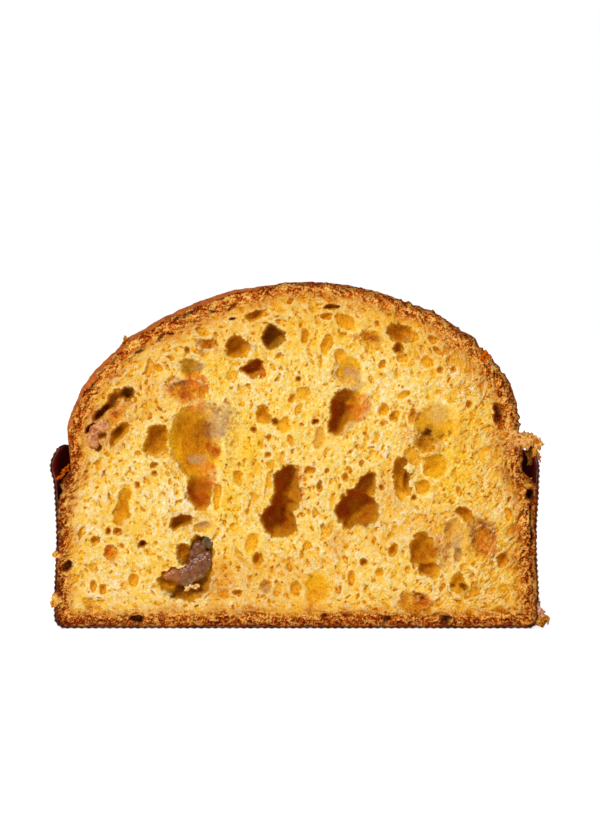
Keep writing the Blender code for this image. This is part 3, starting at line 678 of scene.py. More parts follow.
# Stains seen in the photograph: middle and half-sizes in its pixels, colour, strength, and turn
# in degrees
Stain = namedtuple("Stain", "px py a b colour strength turn", defaults=(0,))
# Each umber mark lies in a hollow, pit or slit and is painted shade there. So is the deep amber under
# the chestnut's lower edge
STAINS = [
    # The teardrop: golden on the left, hazy above, red-brown in the middle, orange below
    (190, 446, 15, 33, AMBER, 1), (200, 432, 14, 17, DEEP_AMBER, 0.9), (174, 446, 7, 30, GOLDEN, 1, 4),
    (171.5, 446, 3.5, 24, YOLK, 0.8, 2), (232, 440, 13, 30, STRAW, 0.6),
    (217, 411, 18, 11, HAZE, 0.7, -12), (222, 424, 8, 12, HAZE, 0.75), (197, 460, 11, 8, GREY, 0.85),
    (208, 431, 8, 10, BROWN, 0.75), (217, 425, 8, 18, GREY, 0.7), (206, 410, 12, 7, AMBER, 0.7),
    (212, 448, 8, 12, RUST, 1, 10), (210, 446, 5, 6, RED, 0.9, 10), (208, 474, 10, 15, ORANGE, 1, 20),
    (202, 488, 8, 12, ORANGE, 0.6), (192, 488, 5, 14, DEEP_AMBER, 0.8), (203, 500, 7, 8, RUST, 0.8),
    (189, 495, 3.5, 8, RED, 0.9), (194, 435, 3, 2.5, UMBER, 0.5),
    # Over it and to its left
    (190, 366, 14, 10, OLIVE, 1), (199, 366, 8, 7, GREY, 0.5), (185, 387, 21, 15, TOAST, 0.9),
    (178, 384, 11, 9, BROWN, 0.6), (184, 392, 8, 7, RUST, 0.8), (201, 382, 9, 7, ORANGE, 0.9, 20),
    (193, 403, 14, 8, ORANGE, 0.85), (190, 400, 6, 5, RUST, 0.7), (207, 342, 12, 5, RUST, 0.8),
    (218, 348, 6, 4, ORANGE, 0.5), (273, 334, 12, 12, UMBER, 0.6), (238, 345, 12, 10, DEEP_AMBER, 0.6),
    (251, 347, 4, 5, GREY, 0.8), (261, 372, 4, 8, ORANGE, 0.9, -20), (264, 357, 3, 10, ORANGE, 0.5),
    (256, 315, 10, 4, DEEP_AMBER, 0.7, 20), (305, 336, 4, 9, AMBER, 0.7, -8),
    # Round the middle
    (372, 337, 10, 6, RUST, 0.8, -20), (356, 335, 7, 3, ORANGE, 0.7, 10),
    (415, 415, 4.5, 8, RUST, 0.85), (300, 488, 5, 23, ORANGE, 0.75, 6),
    (303, 472, 6, 7, TOAST, 0.7, -40), (357, 419, 4, 16, RUST, 0.75, -34),
    (361, 408, 9, 19, ORANGE, 0.7, -24), (346, 395, 11, 9, DEEP_AMBER, 0.6),
    (352, 378, 14, 13, GREY, 0.75), (336, 366, 4, 14, AMBER, 0.6),
    (438, 413, 19, 11, OLIVE_HAZE, 0.6, -10), (458, 430, 9, 17, GOLDEN, 0.55, 10),
    (428, 434, 13, 13, OLIVE, 0.8), (426, 439, 9, 11, DEEP_AMBER, 0.7),
    (427, 433.5, 4.5, 4, UMBER, 0.9), (442, 437, 3, 4, UMBER, 0.45, 20), (449, 433, 2, 2, UMBER, 0.5),
    (402, 474, 9, 18, DEEP_AMBER, 0.6, 6), (409, 478, 5, 9, UMBER, 0.75),
    (438, 465, 14, 14, GOLDEN, 0.8), (431, 461, 8, 9, AMBER, 0.6), (428, 486, 9, 7, AMBER, 0.5),
    (397, 331, 13, 8, DEEP_AMBER, 0.8, -20), (398, 346, 5, 6, DEEP_AMBER, 0.7),
    (408, 338, 4, 4, GREY, 0.7),
    # Below
    (455, 534, 13, 17, OLIVE_HAZE, 0.7), (448, 528, 5, 12, AMBER, 0.6, 10),
    (456, 544, 9, 9, GREY, 0.5), (459, 556, 6, 10, GREY, 0.7, 8), (457, 552, 3, 6, UMBER, 0.35),
    (460, 583, 8, 8, AMBER, 0.6), (453.5, 586, 2.8, 2.2, UMBER, 0.7, -40),
    (465, 587, 4.2, 3, UMBER, 0.8), (463, 594, 4, 3, GREY, 0.8), (267, 589, 8, 7, GREY, 0.6),
    (204, 525, 11, 6, GREY, 0.6, 10), (238, 478, 6, 7, AMBER, 0.5), (268, 418, 6, 7, DEEP_AMBER, 0.6),
    (203, 349, 8, 6, AMBER, 0.6), (346, 429, 7, 9, AMBER, 0.6), (359, 525, 12, 6, DEEP_AMBER, 0.5),
    (212, 584, 7, 9, DEEP_AMBER, 0.5), (438, 446, 8, 7, AMBER, 0.6),
    (320, 440, 7, 15, GREY, 0.35, -12), (430, 556, 19, 21, AMBER, 0.6, 12),
    (424, 556, 13, 18, DEEP_AMBER, 0.7, 12), (441, 549, 5, 13, RUST, 0.75, -55),
    (446, 553, 4, 4, RUST, 0.9), (438, 537, 6, 8, ORANGE, 0.4), (482, 536, 17, 22, AMBER, 0.9, 8),
    (478, 533, 9, 16, DEEP_AMBER, 0.8, 10), (490, 543, 12, 16, ORANGE, 0.8),
    (486, 528, 8, 5, RUST, 0.8, -30), (491, 541, 7, 4, RUST, 0.8, 30), (484, 550, 3, 4, RUST, 0.9),
    (503, 560, 5, 8, AMBER, 0.7, -20), (317, 592, 13, 22, GOLDEN, 0.8), (314, 600, 7, 12, ORANGE, 0.4),
    (414, 604, 19, 12, AMBER, 0.85), (420, 604, 13, 9, TOAST, 0.6), (419, 597, 7, 6, RUST, 0.85),
    (122, 509, 8, 22, AMBER, 0.8, -14), (110, 554, 7, 10, TOAST, 0.8),
    # Round the long slit and the curl
    (103.5, 473.5, 3, 3, RUST, 0.8), (98, 437, 14, 13, RUST, 0.6), (127, 392, 9, 6, UMBER, 0.8, 30),
    (113, 400, 9, 6, BROWN, 0.8, 52), (122, 405, 13, 5, ORANGE, 0.8, 35),
    (111, 414, 8, 7, ORANGE, 0.5), (113, 414, 3, 3, RUST, 0.8), (98, 424, 12, 8, ORANGE, 0.4, 40),
    (116, 431, 4, 8, UMBER, 0.7, -36), (157, 440, 12, 17, DEEP_AMBER, 0.5, -16),
    (290, 451, 2, 2, RUST, 1), (228, 465, 2.2, 2.2, RUST, 1), (186, 559, 7, 5, MAROON, 0.8, 20),
    (188, 592, 22, 10, DEEP_AMBER, 0.8, 10), (183, 590, 22, 7, UMBER, 0.6, 10),
    (199, 586, 7, 12, UMBER, 0.5, -30), (180, 521, 11, 6, DEEP_AMBER, 0.6, 18),
    (499, 414, 5, 13, BARK, 0.85, 8),
]
# Parts of the crumb that lean to another colour, and keep their grain
LEANINGS = [
    (240, 445, 24, 42, YOLK, 0.7), (228, 500, 12, 26, YOLK, 0.7, -6),
    (452, 472, 22, 34, YOLK, 0.75, 10), (300, 420, 34, 30, YOLK, 0.3),
    (470, 430, 30, 40, YOLK, 0.35, -20), (330, 330, 60, 18, YOLK, 0.5), (215, 375, 22, 26, YOLK, 0.5),
    (170, 505, 24, 24, PALE, 0.8), (84, 500, 20, 46, PALE, 0.5), (110, 590, 44, 18, PALE, 0.5),
    (345, 555, 46, 26, PALE, 0.2), (270, 580, 80, 34, GOLD, 0.35), (338, 544, 14, 16, GOLD, 0.5),
    (323, 578, 12, 12, YOLK, 0.5), (436, 479, 12, 10, YOLK, 0.4), (120, 523, 10, 12, GOLD, 0.5),
    (385, 520, 44, 40, GOLD, 0.25, 20), (220, 580, 16, 26, GOLD, 0.5),
    (188, 523, 28, 12, HAZE, 0.5, -10), (395, 535, 22, 16, PALE, 0.6, -20),
    (380, 455, 12, 34, PALE, 0.5), (400, 385, 30, 16, PALE, 0.5), (470, 385, 24, 16, PALE, 0.5, -40),
    (240, 372, 16, 30, PALE, 0.4), (105, 425, 24, 30, GOLD, 0.9, 40),
    (140, 400, 34, 26, GOLD, 0.4, 30), (455, 535, 46, 34, GOLD, 0.45), (425, 432, 26, 26, GOLD, 0.5),
    (395, 480, 20, 30, GOLD, 0.4),
]
# Cracks, slits and pockets near the crust, painted nearly black: partly the dark paper and crust inside
# them, partly painted shade
SLITS = [
    (176.5, 317.6, 4.5, 1.8, MAROON, 0.9, 25), (189.5, 312.6, 9.5, 2.2, MAROON, 0.9, 31),
    (213.5, 311, 5.5, 1.6, MAROON, 0.9, 8), (221.5, 298, 3.5, 1.6, BARK, 0.9, 20),
    (233, 304.5, 9, 2.8, BARK, 0.9, 52), (232.5, 318, 4.5, 1.6, BARK, 0.9, 10),
    (161.5, 335.5, 6.5, 2.6, MAROON, 0.8, 55), (171, 333, 4, 1.4, BARK, 0.8),
    (139.5, 351, 5.5, 2, MAROON, 0.7, 15), (113.5, 360, 6.5, 2.2, MAROON, 0.7, 48),
    (92.5, 386, 8, 2, MAROON, 0.7, 55), (87, 401, 7, 1.8, MAROON, 0.7, 68),
    (101.5, 411.5, 11, 3.6, MAROON, 0.7, 50), (91, 427, 8, 3, MAROON, 0.8, 40),
    (99, 447, 3, 5, MAROON, 0.6, -10), (66, 566.5, 4, 7, MAROON, 0.8, -30),
    (137, 620.5, 7, 3.6, MAROON, 0.8), (386.7, 620, 4, 3.6, MAROON, 0.7),
    (447, 620, 6, 3.6, MAROON, 0.8), (332, 305.5, 9, 2.4, MAROON, 0.8),
    (141.5, 544.7, 3.4, 3.4, BARK, 0.7), (530.5, 494, 3.6, 7, MAROON, 1),
    (531, 513, 1.7, 19, MAROON, 1, -2), (532, 535, 1.5, 13, MAROON, 1, 2),
]

# The crumb's colours, from its deepest pores to its driest torn edges
CRUMB_TONES = np.array([
    linear(190, 106, 2), linear(236, 170, 26), linear(249, 204, 78), linear(252, 220, 132),
    linear(255, 240, 200),
])
# Pores are darker and ridges lighter. This is partly the crumb's own glazed and torn colours, partly
# painted shade in the pores and painted highlight on the ridges
tone = 0.56 + 0.1 * torn + 0.2 * ridge - 0.66 * pore - 0.05 * freckle + 0.16 * threads - 0.06 * wide
tone = tone + (0.1 + 0.16 * right) * fibre * (0.4 + 0.6 * torn) + 0.1 * granule * (1 - 0.5 * walls)
tone = tone + (0.2 + 0.04 * right) * dust * (0.5 + 0.5 * torn) * (1 - 0.7 * walls)
place = np.clip(tone, 0, 0.999) * (len(CRUMB_TONES) - 1)
low = place.astype(int)
colour = blend(CRUMB_TONES[low], CRUMB_TONES[low + 1], place - low)
# Hollow walls turn glazed, amber and deep amber as they get deeper and steeper. This is partly their
# own glazed colour and partly painted shade. Walls turned from the light get painted umber shade, and
# walls turned towards it get painted glaze light, which also thins their red stain
steep = smooth(np.hypot(*np.gradient(blur(depth, 0.5), STEP)), 0.3, 1.3)
uneven = depth * (1 + 0.16 * blotch + 0.05 * granule + 0.06 * fibre)
reddened = blur(red, 0.5) * smooth(depth, 1.2, 5) * (0.7 + 0.7 * blotch) * (1 - 0.35 * painted_light_side)
for ground, share in (
    (YOLK, np.clip(0.15 + 0.45 * patch_fine, 0, 0.6) * (1 - 0.6 * torn) * (1 - pore)),
    (GLAZE, 0.8 * smooth(uneven, 0.6, 2.2) * (1 - 0.4 * painted_light_side)),
    (AMBER, (0.55 + 0.35 * steep) * smooth(uneven, 1.8, 4.6) * (1 - 0.5 * painted_light_side)),
    (DEEP_AMBER, 0.9 * smooth(uneven, 3.5, 7.5) * (1 - 0.4 * painted_light_side)),
    (UMBER, 0.4 * painted_shade_side * smooth(depth, 2.4, 6)),
    (GLAZE, 0.35 * painted_light_side * smooth(depth, 1.8, 5)),
    (RED, np.clip(reddened, 0, 0.9)),
):
    colour = blend(colour, ground, share)


# The crumb's usual colour, which the leanings start from
PLAIN = linear(247, 200, 96)


def lean(crumb, towards, share):
    """Leans the crumb's colour towards another and keeps its light and dark."""
    return crumb * (1 + (towards / PLAIN - 1) * np.asarray(share)[..., None])


def paint(stain, bend=1):
    """Blends a stain's colour in, in uneven blotches."""
    part, _, _, level = cover(stain, 2.5, bend)
    share = stain.strength * smooth(level, -0.25, 0.7)
    share = np.clip(share * (0.8 + 0.5 * blotch[part]), 0, 1)
    crumbly = (0.2 * fibre[part] + 0.2 * granule[part]) * (1 - 0.6 * walls[part])
    ground = stain.colour * (1 + np.clip(crumbly, -0.5, 0))[..., None]
    ground = blend(ground, FLECK, 0.4 * np.clip(crumbly, 0, 0.7))
    colour[part] = blend(colour[part], ground, share)


for stain in (Stain(*row) for row in LEANINGS):
    sx, sz = at_x(stain.px), at_z(stain.py)
    level = oval(HX - sx, HZ - sz, stain.a * PIXEL, stain.b * PIXEL, math.radians(stain.turn))
    colour = lean(colour, stain.colour, stain.strength * smooth(level, -0.4, 0.9) * (1 - walls))
for row in STAINS:
    paint(Stain(*row))
specks = smooth(white(11, 0.16), 0.75, 1.1)
colour = blend(colour, UMBER, 0.55 * specks * walls)
# Pale rims round the hollows: partly torn crumb, partly a painted highlight on the raised rim
colour = blend(colour, CREAM, 0.5 * lip * (1 - walls) * np.clip(0.5 + granule, 0, 1))
colour = blend(colour, CREAM, 0.35 * threads * (1 - walls))
ragged = (crust_gap * (1 + 0.25 * patch_fine) + 0.6 * grid_noise(1.8, 62) + 0.5 * crumbs) / band
light = 0.44 - 0.7 * crumbs - 0.3 * flake - 0.25 * dust + 0.3 * threads - 0.15 * smooth(-GZ, -9, -3)
light = light + (0.06 + 0.08 * smooth(GX, -20, 20)) * smooth(GZ, 70, 110)
light = np.clip(light, 0, 1)[..., None]
baked = np.where(light < 0.5, BARK + (TOAST - BARK) * smooth(light, 0, 0.45), TOAST)
baked = baked + (FLECK - baked) * smooth(light, 0.5, 0.95)
golden = smooth(-crust_gap, -34, -6) * (0.12 + 0.12 * right + 0.3 * smooth(GZ, 85, 125))
colour = lean(colour, GOLD, golden)
colour = lean(colour, GOLD, 0.8 * smooth(-ragged, -1.3, -0.5))
# Above the case on the left the light falls along the crust's edge, which stays pale
edge_dark = 1 - 0.8 * smooth(-GX, -10, 25) * smooth(GZ, 62, 72)
baked = baked + (RIM - baked) * (0.55 * edge_dark * smooth(-ragged, -0.35, -0.05))[..., None]
share = smooth(-ragged, -0.95, -0.3)[..., None]
colour = colour + (baked - colour) * share
colour = blend(colour, RIM, 0.8 * edge_dark * smooth(-crust_gap, -0.7, -0.1))
# Cracks near the crust are painted bark brown: painted shade in them
colour = blend(colour, BARK, 0.75 * cracks)
for row in SLITS:
    paint(Stain(*row), 0.25)
# Fibres and freckles darken by a power, which makes the colour deeper as well
deeper = 0.08 * fibre * torn * (1 - walls) - 0.04 * freckle
colour = np.clip(colour, 0.003, 0.98) ** np.clip(1 + deeper, 0.6, 2)[..., None]


# Mesh helpers


def add_object(name, data):
    made = bpy.data.objects.new(name, data)
    bpy.context.scene.collection.objects.link(made)
    return made


def make_mesh(name, points, faces, colours, grit=1):
    """A mesh object of quads; points in mm.

    colours are the points' own, and grit is how strongly the material's fine bumps show there.
    """
    mesh = bpy.data.meshes.new(name)
    mesh.vertices.add(len(points))
    mesh.vertices.foreach_set("co", (points * MM).astype(np.float32).ravel())
    mesh.loops.add(faces.size)
    mesh.loops.foreach_set("vertex_index", faces.astype(np.int32).ravel())
    mesh.polygons.add(len(faces))
    mesh.polygons.foreach_set("loop_start", np.arange(0, faces.size, 4, dtype=np.int32))
    mesh.polygons.foreach_set("loop_total", np.full(len(faces), 4, dtype=np.int32))
    mesh.update(calc_edges=True)
    mesh.validate()
    mesh.shade_smooth()
    layer = mesh.color_attributes.new("tint", "FLOAT_COLOR", "POINT")
    rgba = np.ones((len(points), 4), dtype=np.float32)
    rgba[:, :3] = colours
    layer.data.foreach_set("color", rgba.ravel())
    layer = mesh.attributes.new("grit", "FLOAT", "POINT")
    layer.data.foreach_set("value", np.broadcast_to(grit, len(points)).astype(np.float32))
    return add_object(name, mesh)


def place_piece(name, mesh, material, node):
    """Makes a piece that rides on the body and stands for a node of the CAD model."""
    piece = make_mesh(name, *mesh)
    piece.data.materials.append(material)
    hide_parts(node)
    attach(piece, "root")


def grid_faces(rows, cols, wrap=False):
    """The quads of a grid of points, row after row; wrap joins its last row to its first."""
    last = rows if wrap else rows - 1
    r, c = np.meshgrid(np.arange(last), np.arange(cols - 1), indexing="ij")
    r, c = r.ravel(), c.ravel()
    below = (r + 1) % rows
    return np.stack([r * cols + c, r * cols + c + 1, below * cols + c + 1, below * cols + c], 1)


# Materials


def new_material(name):
    made = bpy.data.materials.new(name)
    made.use_nodes = True
    return made, made.node_tree.nodes, made.node_tree.links


def set_inputs(node, **values):
    """Sets constants on a node's inputs; a name has _ where the input's name has a space."""
    for name, value in values.items():
        node.inputs[name.replace("_", " ")].default_value = value
    return node


def add_texture(nodes, links, **values):
    """Noise that lies still in the object."""
    place = nodes.new("ShaderNodeTexCoord")
    texture = set_inputs(nodes.new("ShaderNodeTexNoise"), **values)
    links.new(place.outputs["Object"], texture.inputs["Vector"])
    return texture.outputs["Fac"]


def add_bump(nodes, links, shader, layers):
    """Stacks noise bumps: each layer is (noise scale per metre, detail, distance in metres)."""
    grit = nodes.new("ShaderNodeAttribute")
    grit.attribute_name = "grit"
    into = shader.inputs["Normal"]
    for scale, detail, distance in reversed(layers):
        bump = set_inputs(nodes.new("ShaderNodeBump"), Distance=distance)
        height = add_texture(nodes, links, Scale=scale, Detail=detail, Roughness=0.6)
        links.new(height, bump.inputs["Height"])
        links.new(grit.outputs["Fac"], bump.inputs["Strength"])
        links.new(bump.outputs["Normal"], into)
        into = bump.inputs["Normal"]


def tinted_material(name, layers, roughness, specular, mottle, mottle_scale, subsurface=0):
    """A material whose colour is the mesh's own, with fine mottling and bumps.

    layers are add_bump's, mottle is how strong the mottling is, and mottle_scale how fine.
    """
    made, nodes, links = new_material(name)
    shader = set_inputs(
        nodes["Principled BSDF"],
        Roughness=roughness,
        Specular_IOR_Level=specular,
        Subsurface_Weight=subsurface,
        Subsurface_Radius=(1, 0.6, 0.16),
        Subsurface_Scale=0.0005,
    )
    tint = nodes.new("ShaderNodeVertexColor")
    tint.layer_name = "tint"
    mottling = add_texture(nodes, links, Scale=mottle_scale, Detail=3)
    span = nodes.new("ShaderNodeMapRange")
    set_inputs(span, From_Min=0.28, From_Max=0.72, To_Min=1 + mottle, To_Max=1 - mottle)
    links.new(mottling, span.inputs["Value"])
    # A power deepens the colour where it darkens it, as crumb and crust do
    deepen = nodes.new("ShaderNodeGamma")
    links.new(tint.outputs["Color"], deepen.inputs["Color"])
    links.new(span.outputs["Result"], deepen.inputs["Gamma"])
    links.new(deepen.outputs["Color"], shader.inputs["Base Color"])
    add_bump(nodes, links, shader, layers)
    return made


crumb_material = tinted_material(
    "crumb", [(1300, 4, 0.00025), (3400, 2, 0.00024)],
    roughness=0.7, specular=0, mottle=0.34, mottle_scale=2600, subsurface=0.2,
)
crust_material = tinted_material(
    "baked_crust", [(420, 4, 0.0004), (2600, 3, 0.0001)],
    roughness=0.5, specular=0.2, mottle=0.25, mottle_scale=900,
)
fruit_material = tinted_material(
    "candied_flesh", [(700, 3, 0.00014), (3000, 2, 0.00005)],
    roughness=0.25, specular=0.45, mottle=0.14, mottle_scale=900, subsurface=0.2,
)
paper_material = tinted_material(
    "brown_paper", [(900, 3, 0.0001), (5200, 2, 0.00005)],
    roughness=0.75, specular=0.1, mottle=0.2, mottle_scale=2200,
)


# The cut face

keep = np.flatnonzero(inside_line(GX, GZ, outline) & (crust_gap > 0))
quads = grid_faces(*SHAPE)
quads = quads[np.isin(quads, keep).any(1)]
points = np.stack([GX.ravel(), CUT + depth.ravel(), GZ.ravel()], 1)

# Corners just outside the outline are pulled onto it, so the cut's edge is clean
RIM_OUT, RIM_IN = -0.12, 0.15
ring = np.setdiff1d(quads, keep)
points[ring, ::2] = nearest_on_line(points[ring, ::2], outline)[1]
points[ring, 1] = CUT + np.where(points[ring, 2] < OVERHANG_TOP, RIM_OUT, RIM_IN)
flat_colour = colour.reshape(-1, 3)
flat_grit = ((1 - 0.75 * walls) * (1 - 0.6 * pool)).ravel()
order = np.argsort(points[quads[:, 0], 0], kind="stable")
for letter, share in zip("abc", np.array_split(order, 3)):
    ids, packed = np.unique(quads[share], return_inverse=True)
    mesh = (points[ids], packed.reshape(-1, 4), flat_colour[ids], flat_grit[ids])
    place_piece(f"crumb_{letter}", mesh, crumb_material, "loaf")


# The crust behind the cut

radius, height, normal_r, normal_z, _ = resample(*profile, 0.8)
# Inside the case, only every eighth ring and the last one are needed
SEEN_ABOVE = 50
visible = height > SEEN_ABOVE
stations = np.concatenate([np.flatnonzero(visible), np.flatnonzero(~visible)[::8]])
if stations[-1] != len(radius) - 1:
    stations = np.append(stations, len(radius) - 1)
radius, height, normal_r, normal_z = (
    values[stations, None] for values in (radius, height, normal_r, normal_z)
)
near_cut = np.array([0, 0.15, 0.3, 0.5])
angles = np.concatenate([near_cut, np.linspace(0.8, 179.2, 330), 180 - near_cut[::-1]])
angles = np.radians(angles)
skin_points = crust_surface(radius, height, normal_r, normal_z, angles).reshape(-1, 3)
skin_normal = np.broadcast_arrays(normal_r * np.cos(angles), normal_r * np.sin(angles), normal_z)
skin_normal = np.stack(skin_normal, -1).reshape(-1, 3)
wrinkle = rough(skin_points, 3.2, 71, 3) * 0.16 + 0.1 * noise(skin_points, 0.9, 75)
free_z = smooth(skin_points[:, 2], SWELL_Z, SHOULDER_Z - 8)
skin_points = skin_points + skin_normal * (wrinkle * free_z)[:, None]
skin_points[:, 1] = np.maximum(skin_points[:, 1], CUT)
tone = rough(skin_points, 22, 81, 4)
spots = rough(skin_points, 4, 86, 3)
top = smooth(skin_points[:, 2], 70, 135)
CRUST_LIGHT, CRUST_MID, CRUST_DARK = linear(214, 128, 38), linear(200, 102, 22), linear(138, 62, 12)
skin_colour = blend(np.broadcast_to(CRUST_MID, skin_points.shape), CRUST_DARK, 0.4 * top)
skin_colour = blend(skin_colour, CRUST_LIGHT, 0.5 * smooth(tone + 0.4 * spots, 0.05, 0.6))
skin_colour = blend(skin_colour, CRUST_DARK, 0.6 * smooth(-spots - 0.5 * wrinkle, 0.05, 0.6))
skin_faces = grid_faces(len(radius), len(angles))[:, ::-1]
place_piece("crust", (skin_points, skin_faces, skin_colour), crust_material, "loaf")


# Small lumps


CURVE_STEPS = 14


def closed_curve(corners):
    """A smooth closed curve through corners given in the photograph's pixels, in mm."""
    knots = np.array([(at_x(px), at_z(py)) for px, py in corners])
    before, after, last = np.roll(knots, 1, 0), np.roll(knots, -1, 0), np.roll(knots, -2, 0)
    slope = after - before
    square = 2 * before - 5 * knots + 4 * after - last
    cube = 3 * knots - before - 3 * after + last
    shares = np.arange(CURVE_STEPS) / CURVE_STEPS
    spans = [0.5 * (2 * knots + slope * t + square * t**2 + cube * t**3) for t in shares]
    return np.stack(spans, 1).reshape(-1, 2)


def lump(corners, front, bulge, back, shoulder, step, seed, tones, uneven, ragged):
    """A closed lump that fills an outline of the cut plane.

    front is the depth of its rim behind the cut plane in mm, and bulge and back are how far it
    swells forward and backward from there, over a shoulder of the given width. tones are its
    two colours, uneven is how rough its face is, and ragged how rough its outline. Returns
    points, quads and colours.
    """
    curve = closed_curve(corners)
    place = np.insert(curve, 1, 0, axis=1)
    for size in (1.9, 0.9, 0.45):
        push = np.stack([noise(place, size, seed), noise(place, size, seed + 1)], 1)
        curve = curve + ragged * push
    low, high = curve.min(0) - step, curve.max(0) + step
    xs, zs = np.arange(low[0], high[0] + step, step), np.arange(low[1], high[1] + step, step)
    x, z = np.meshgrid(xs, zs)
    line = np.vstack([curve, curve[:1]])
    inner = inside_line(x, z, line).ravel()
    flat = np.stack([x.ravel(), z.ravel()], 1)
    distance, nearest, _ = nearest_on_line(flat, line)
    quads = grid_faces(*x.shape)
    quads = quads[inner[quads].any(1)]
    edge = np.setdiff1d(quads, np.flatnonzero(inner))
    flat[edge] = nearest[edge]
    distance[edge] = 0
    swell = np.sqrt(1 - (1 - np.clip(distance / shoulder, 0, 1)) ** 2)
    spot = np.insert(flat, 1, front, axis=1)
    wavy, grainy, grit = (noise(spot, size, seed + 2 + i) for i, size in enumerate((2.6, 1.1, 0.55)))
    front_y = CUT + front + (uneven * (wavy + 0.8 * grainy + 0.5 * grit) - bulge) * swell
    back_y = CUT + front + back * swell
    kept = np.unique(quads)
    deep = kept[inner[kept]]
    ids = np.zeros(len(flat), dtype=int)
    ids[kept] = np.arange(len(kept))
    back_ids = ids.copy()
    back_ids[deep] = len(kept) + np.arange(len(deep))
    both = np.concatenate([kept, deep])
    points = np.insert(flat[both], 1, np.concatenate([front_y[kept], back_y[deep]]), axis=1)
    share = np.clip(0.5 + (0.3 * wavy + 0.7 * grainy + 0.5 * grit)[both], 0, 1)
    colours = blend(np.broadcast_to(tones[0], points.shape), tones[1], share)
    return points, np.concatenate([ids[quads], back_ids[quads][:, ::-1]]), colours


def join(parts):
    """Several (points, quads, colours) as one."""
    points, quads, colours = zip(*parts)
    starts = np.cumsum([0] + [len(group) for group in points])
    quads = [group + start for group, start in zip(quads, starts)]
    return np.concatenate(points), np.concatenate(quads), np.concatenate(colours)


# The candied chestnut, in three pieces of flesh
HALF_MOON = [
    (159.5, 578), (164, 572), (170, 568.6), (177, 566), (184, 563.5), (192, 557), (197, 553.6),
    (203, 551.5), (208, 550.5), (211.4, 553), (212, 559), (210.7, 565), (207, 572), (200, 579.3),
    (190, 585), (182, 586.4), (173.6, 583), (166, 581),
]
MIDDLE_LOBE = [
    (187, 560), (189.5, 549), (193, 542.5), (199, 540.5), (205, 543), (206.5, 549), (203, 555),
    (196, 560),
]
UPPER_LOBE = [
    (201, 546), (202, 539), (205, 535), (209, 534), (213, 538), (214.5, 544), (212.5, 548), (206, 549),
]
CURL = [
    (97, 421), (103, 418.6), (109, 420), (111, 425), (107, 430), (102, 431.5), (98.5, 433.5),
    (98, 438), (99, 442), (96.5, 448), (90.5, 448), (87, 441), (87, 434), (88.6, 428), (92.6, 424),
]
FLESH, FLESH_DARK = linear(136, 76, 24), linear(98, 46, 10)
FLESH_ORANGE, FLESH_PAINTED_GLINT = linear(176, 98, 22), linear(160, 124, 76)
FLESH_OLIVE, FLESH_SHADE = linear(112, 80, 16), linear(66, 42, 4)
PINK, PINK_DARK = linear(222, 156, 88), linear(170, 88, 36)

points, faces, tones = join([
    lump(HALF_MOON, 2.2, 2.1, 3, 4.2, 0.2, 301, (FLESH, FLESH_DARK), 0.22, 0.3),
    lump(MIDDLE_LOBE, 3, 1.6, 2, 2.6, 0.2, 311, (FLESH_DARK, FLESH), 0.25, 0.3),
    lump(UPPER_LOBE, 2.2, 1.6, 2.6, 2.6, 0.2, 321, (FLESH_OLIVE, FLESH_SHADE), 0.25, 0.3),
])
# It is orange at its left end, and along its outer bend it has pale specks that are painted glints,
# standing in for highlights
patchy = 0.7 + 0.6 * noise(points, 1.2, 305)
orange = smooth(-points[:, 0], -at_x(188), -at_x(165)) * patchy
tones = blend(tones, FLESH_ORANGE, np.clip(orange, 0, 1))
outer = np.hypot(points[:, 0] - at_x(185), points[:, 2] - at_z(552))
outer = smooth(outer, 9.5, 12.5) * smooth(points[:, 0], at_x(176), at_x(188)) * patchy
painted_glints = smooth(noise(points, 0.8, 306) + 0.5 * noise(points, 2, 307), 0, 0.7)
tones = blend(tones, FLESH_PAINTED_GLINT, np.clip((0.35 + 0.6 * painted_glints) * outer, 0, 1))
place_piece("chestnut_flesh", (points, faces, tones), fruit_material, "chestnut")
chip = lump(CURL, 0.7, 1.6, 2.6, 1.7, 0.2, 331, (PINK, PINK_DARK), 0.3, 0.2)
place_piece("chestnut_curl", chip, fruit_material, "chestnut_chip")

# The torn crumb that hangs over the case's rim, what sticks to the case, and shreds over hollows
FLAP = [
    (507, 430), (515, 428.8), (522, 430.5), (528.6, 431.9), (535.7, 435), (541.4, 438.3),
    (544.2, 442.6), (539.6, 448.6), (532.9, 446.4), (527, 448), (521.4, 447.4), (508, 452),
]
HANGING = [
    (533.2, 444), (539, 445), (541, 451), (540.6, 458), (537.4, 461), (534.4, 458), (533, 451),
]
STRAND = [
    (526, 443), (532, 443), (537, 446), (536, 452), (532.6, 457), (530, 465), (527.8, 459),
    (526.2, 452),
]
LOWER_RIGHT = [
    (533, 600), (539, 603), (541.5, 608), (543.5, 611), (545.5, 615.5), (549, 618.5), (548.6, 623.5),
    (543, 625.8), (537, 626.2), (532, 622), (531, 610),
]
FIBRE = [(539, 606), (542, 607), (545, 612), (545, 618), (541.5, 618.5), (539.5, 613)]
BRIDGE = [
    (68, 465), (63, 469.6), (58.6, 473.6), (55.6, 477.6), (56.4, 479.6), (59.4, 477.4), (64, 473.6),
    (69, 471.6),
]
SPUR = [(521, 480), (524, 474), (527, 475.6), (530.8, 478), (529.6, 482.6), (533, 487), (525, 489)]
CRUMBS_BELOW = [
    (183, 589), (187, 585.6), (192, 584.2), (197, 584.8), (199, 588), (195, 590), (191, 588.6),
    (188, 591.6), (184, 592),
]
TUFT = [(122.5, 343), (123.5, 338.5), (126, 336.8), (128.6, 340), (130, 344.5), (127, 347.5)]
SPIKE = [(481, 352), (485, 349.6), (489.4, 351.6), (490.6, 356.6), (488, 361.6), (482.6, 360)]
LEFT_CRUMBS = [(56, 550), (53, 552.5), (51.4, 555), (53.4, 557.6), (57.6, 558.4), (60, 554.4)]
LOWER_CRUMBS = [(54, 594), (50.6, 597), (49.8, 602), (52, 606.6), (57.6, 606), (60, 599)]
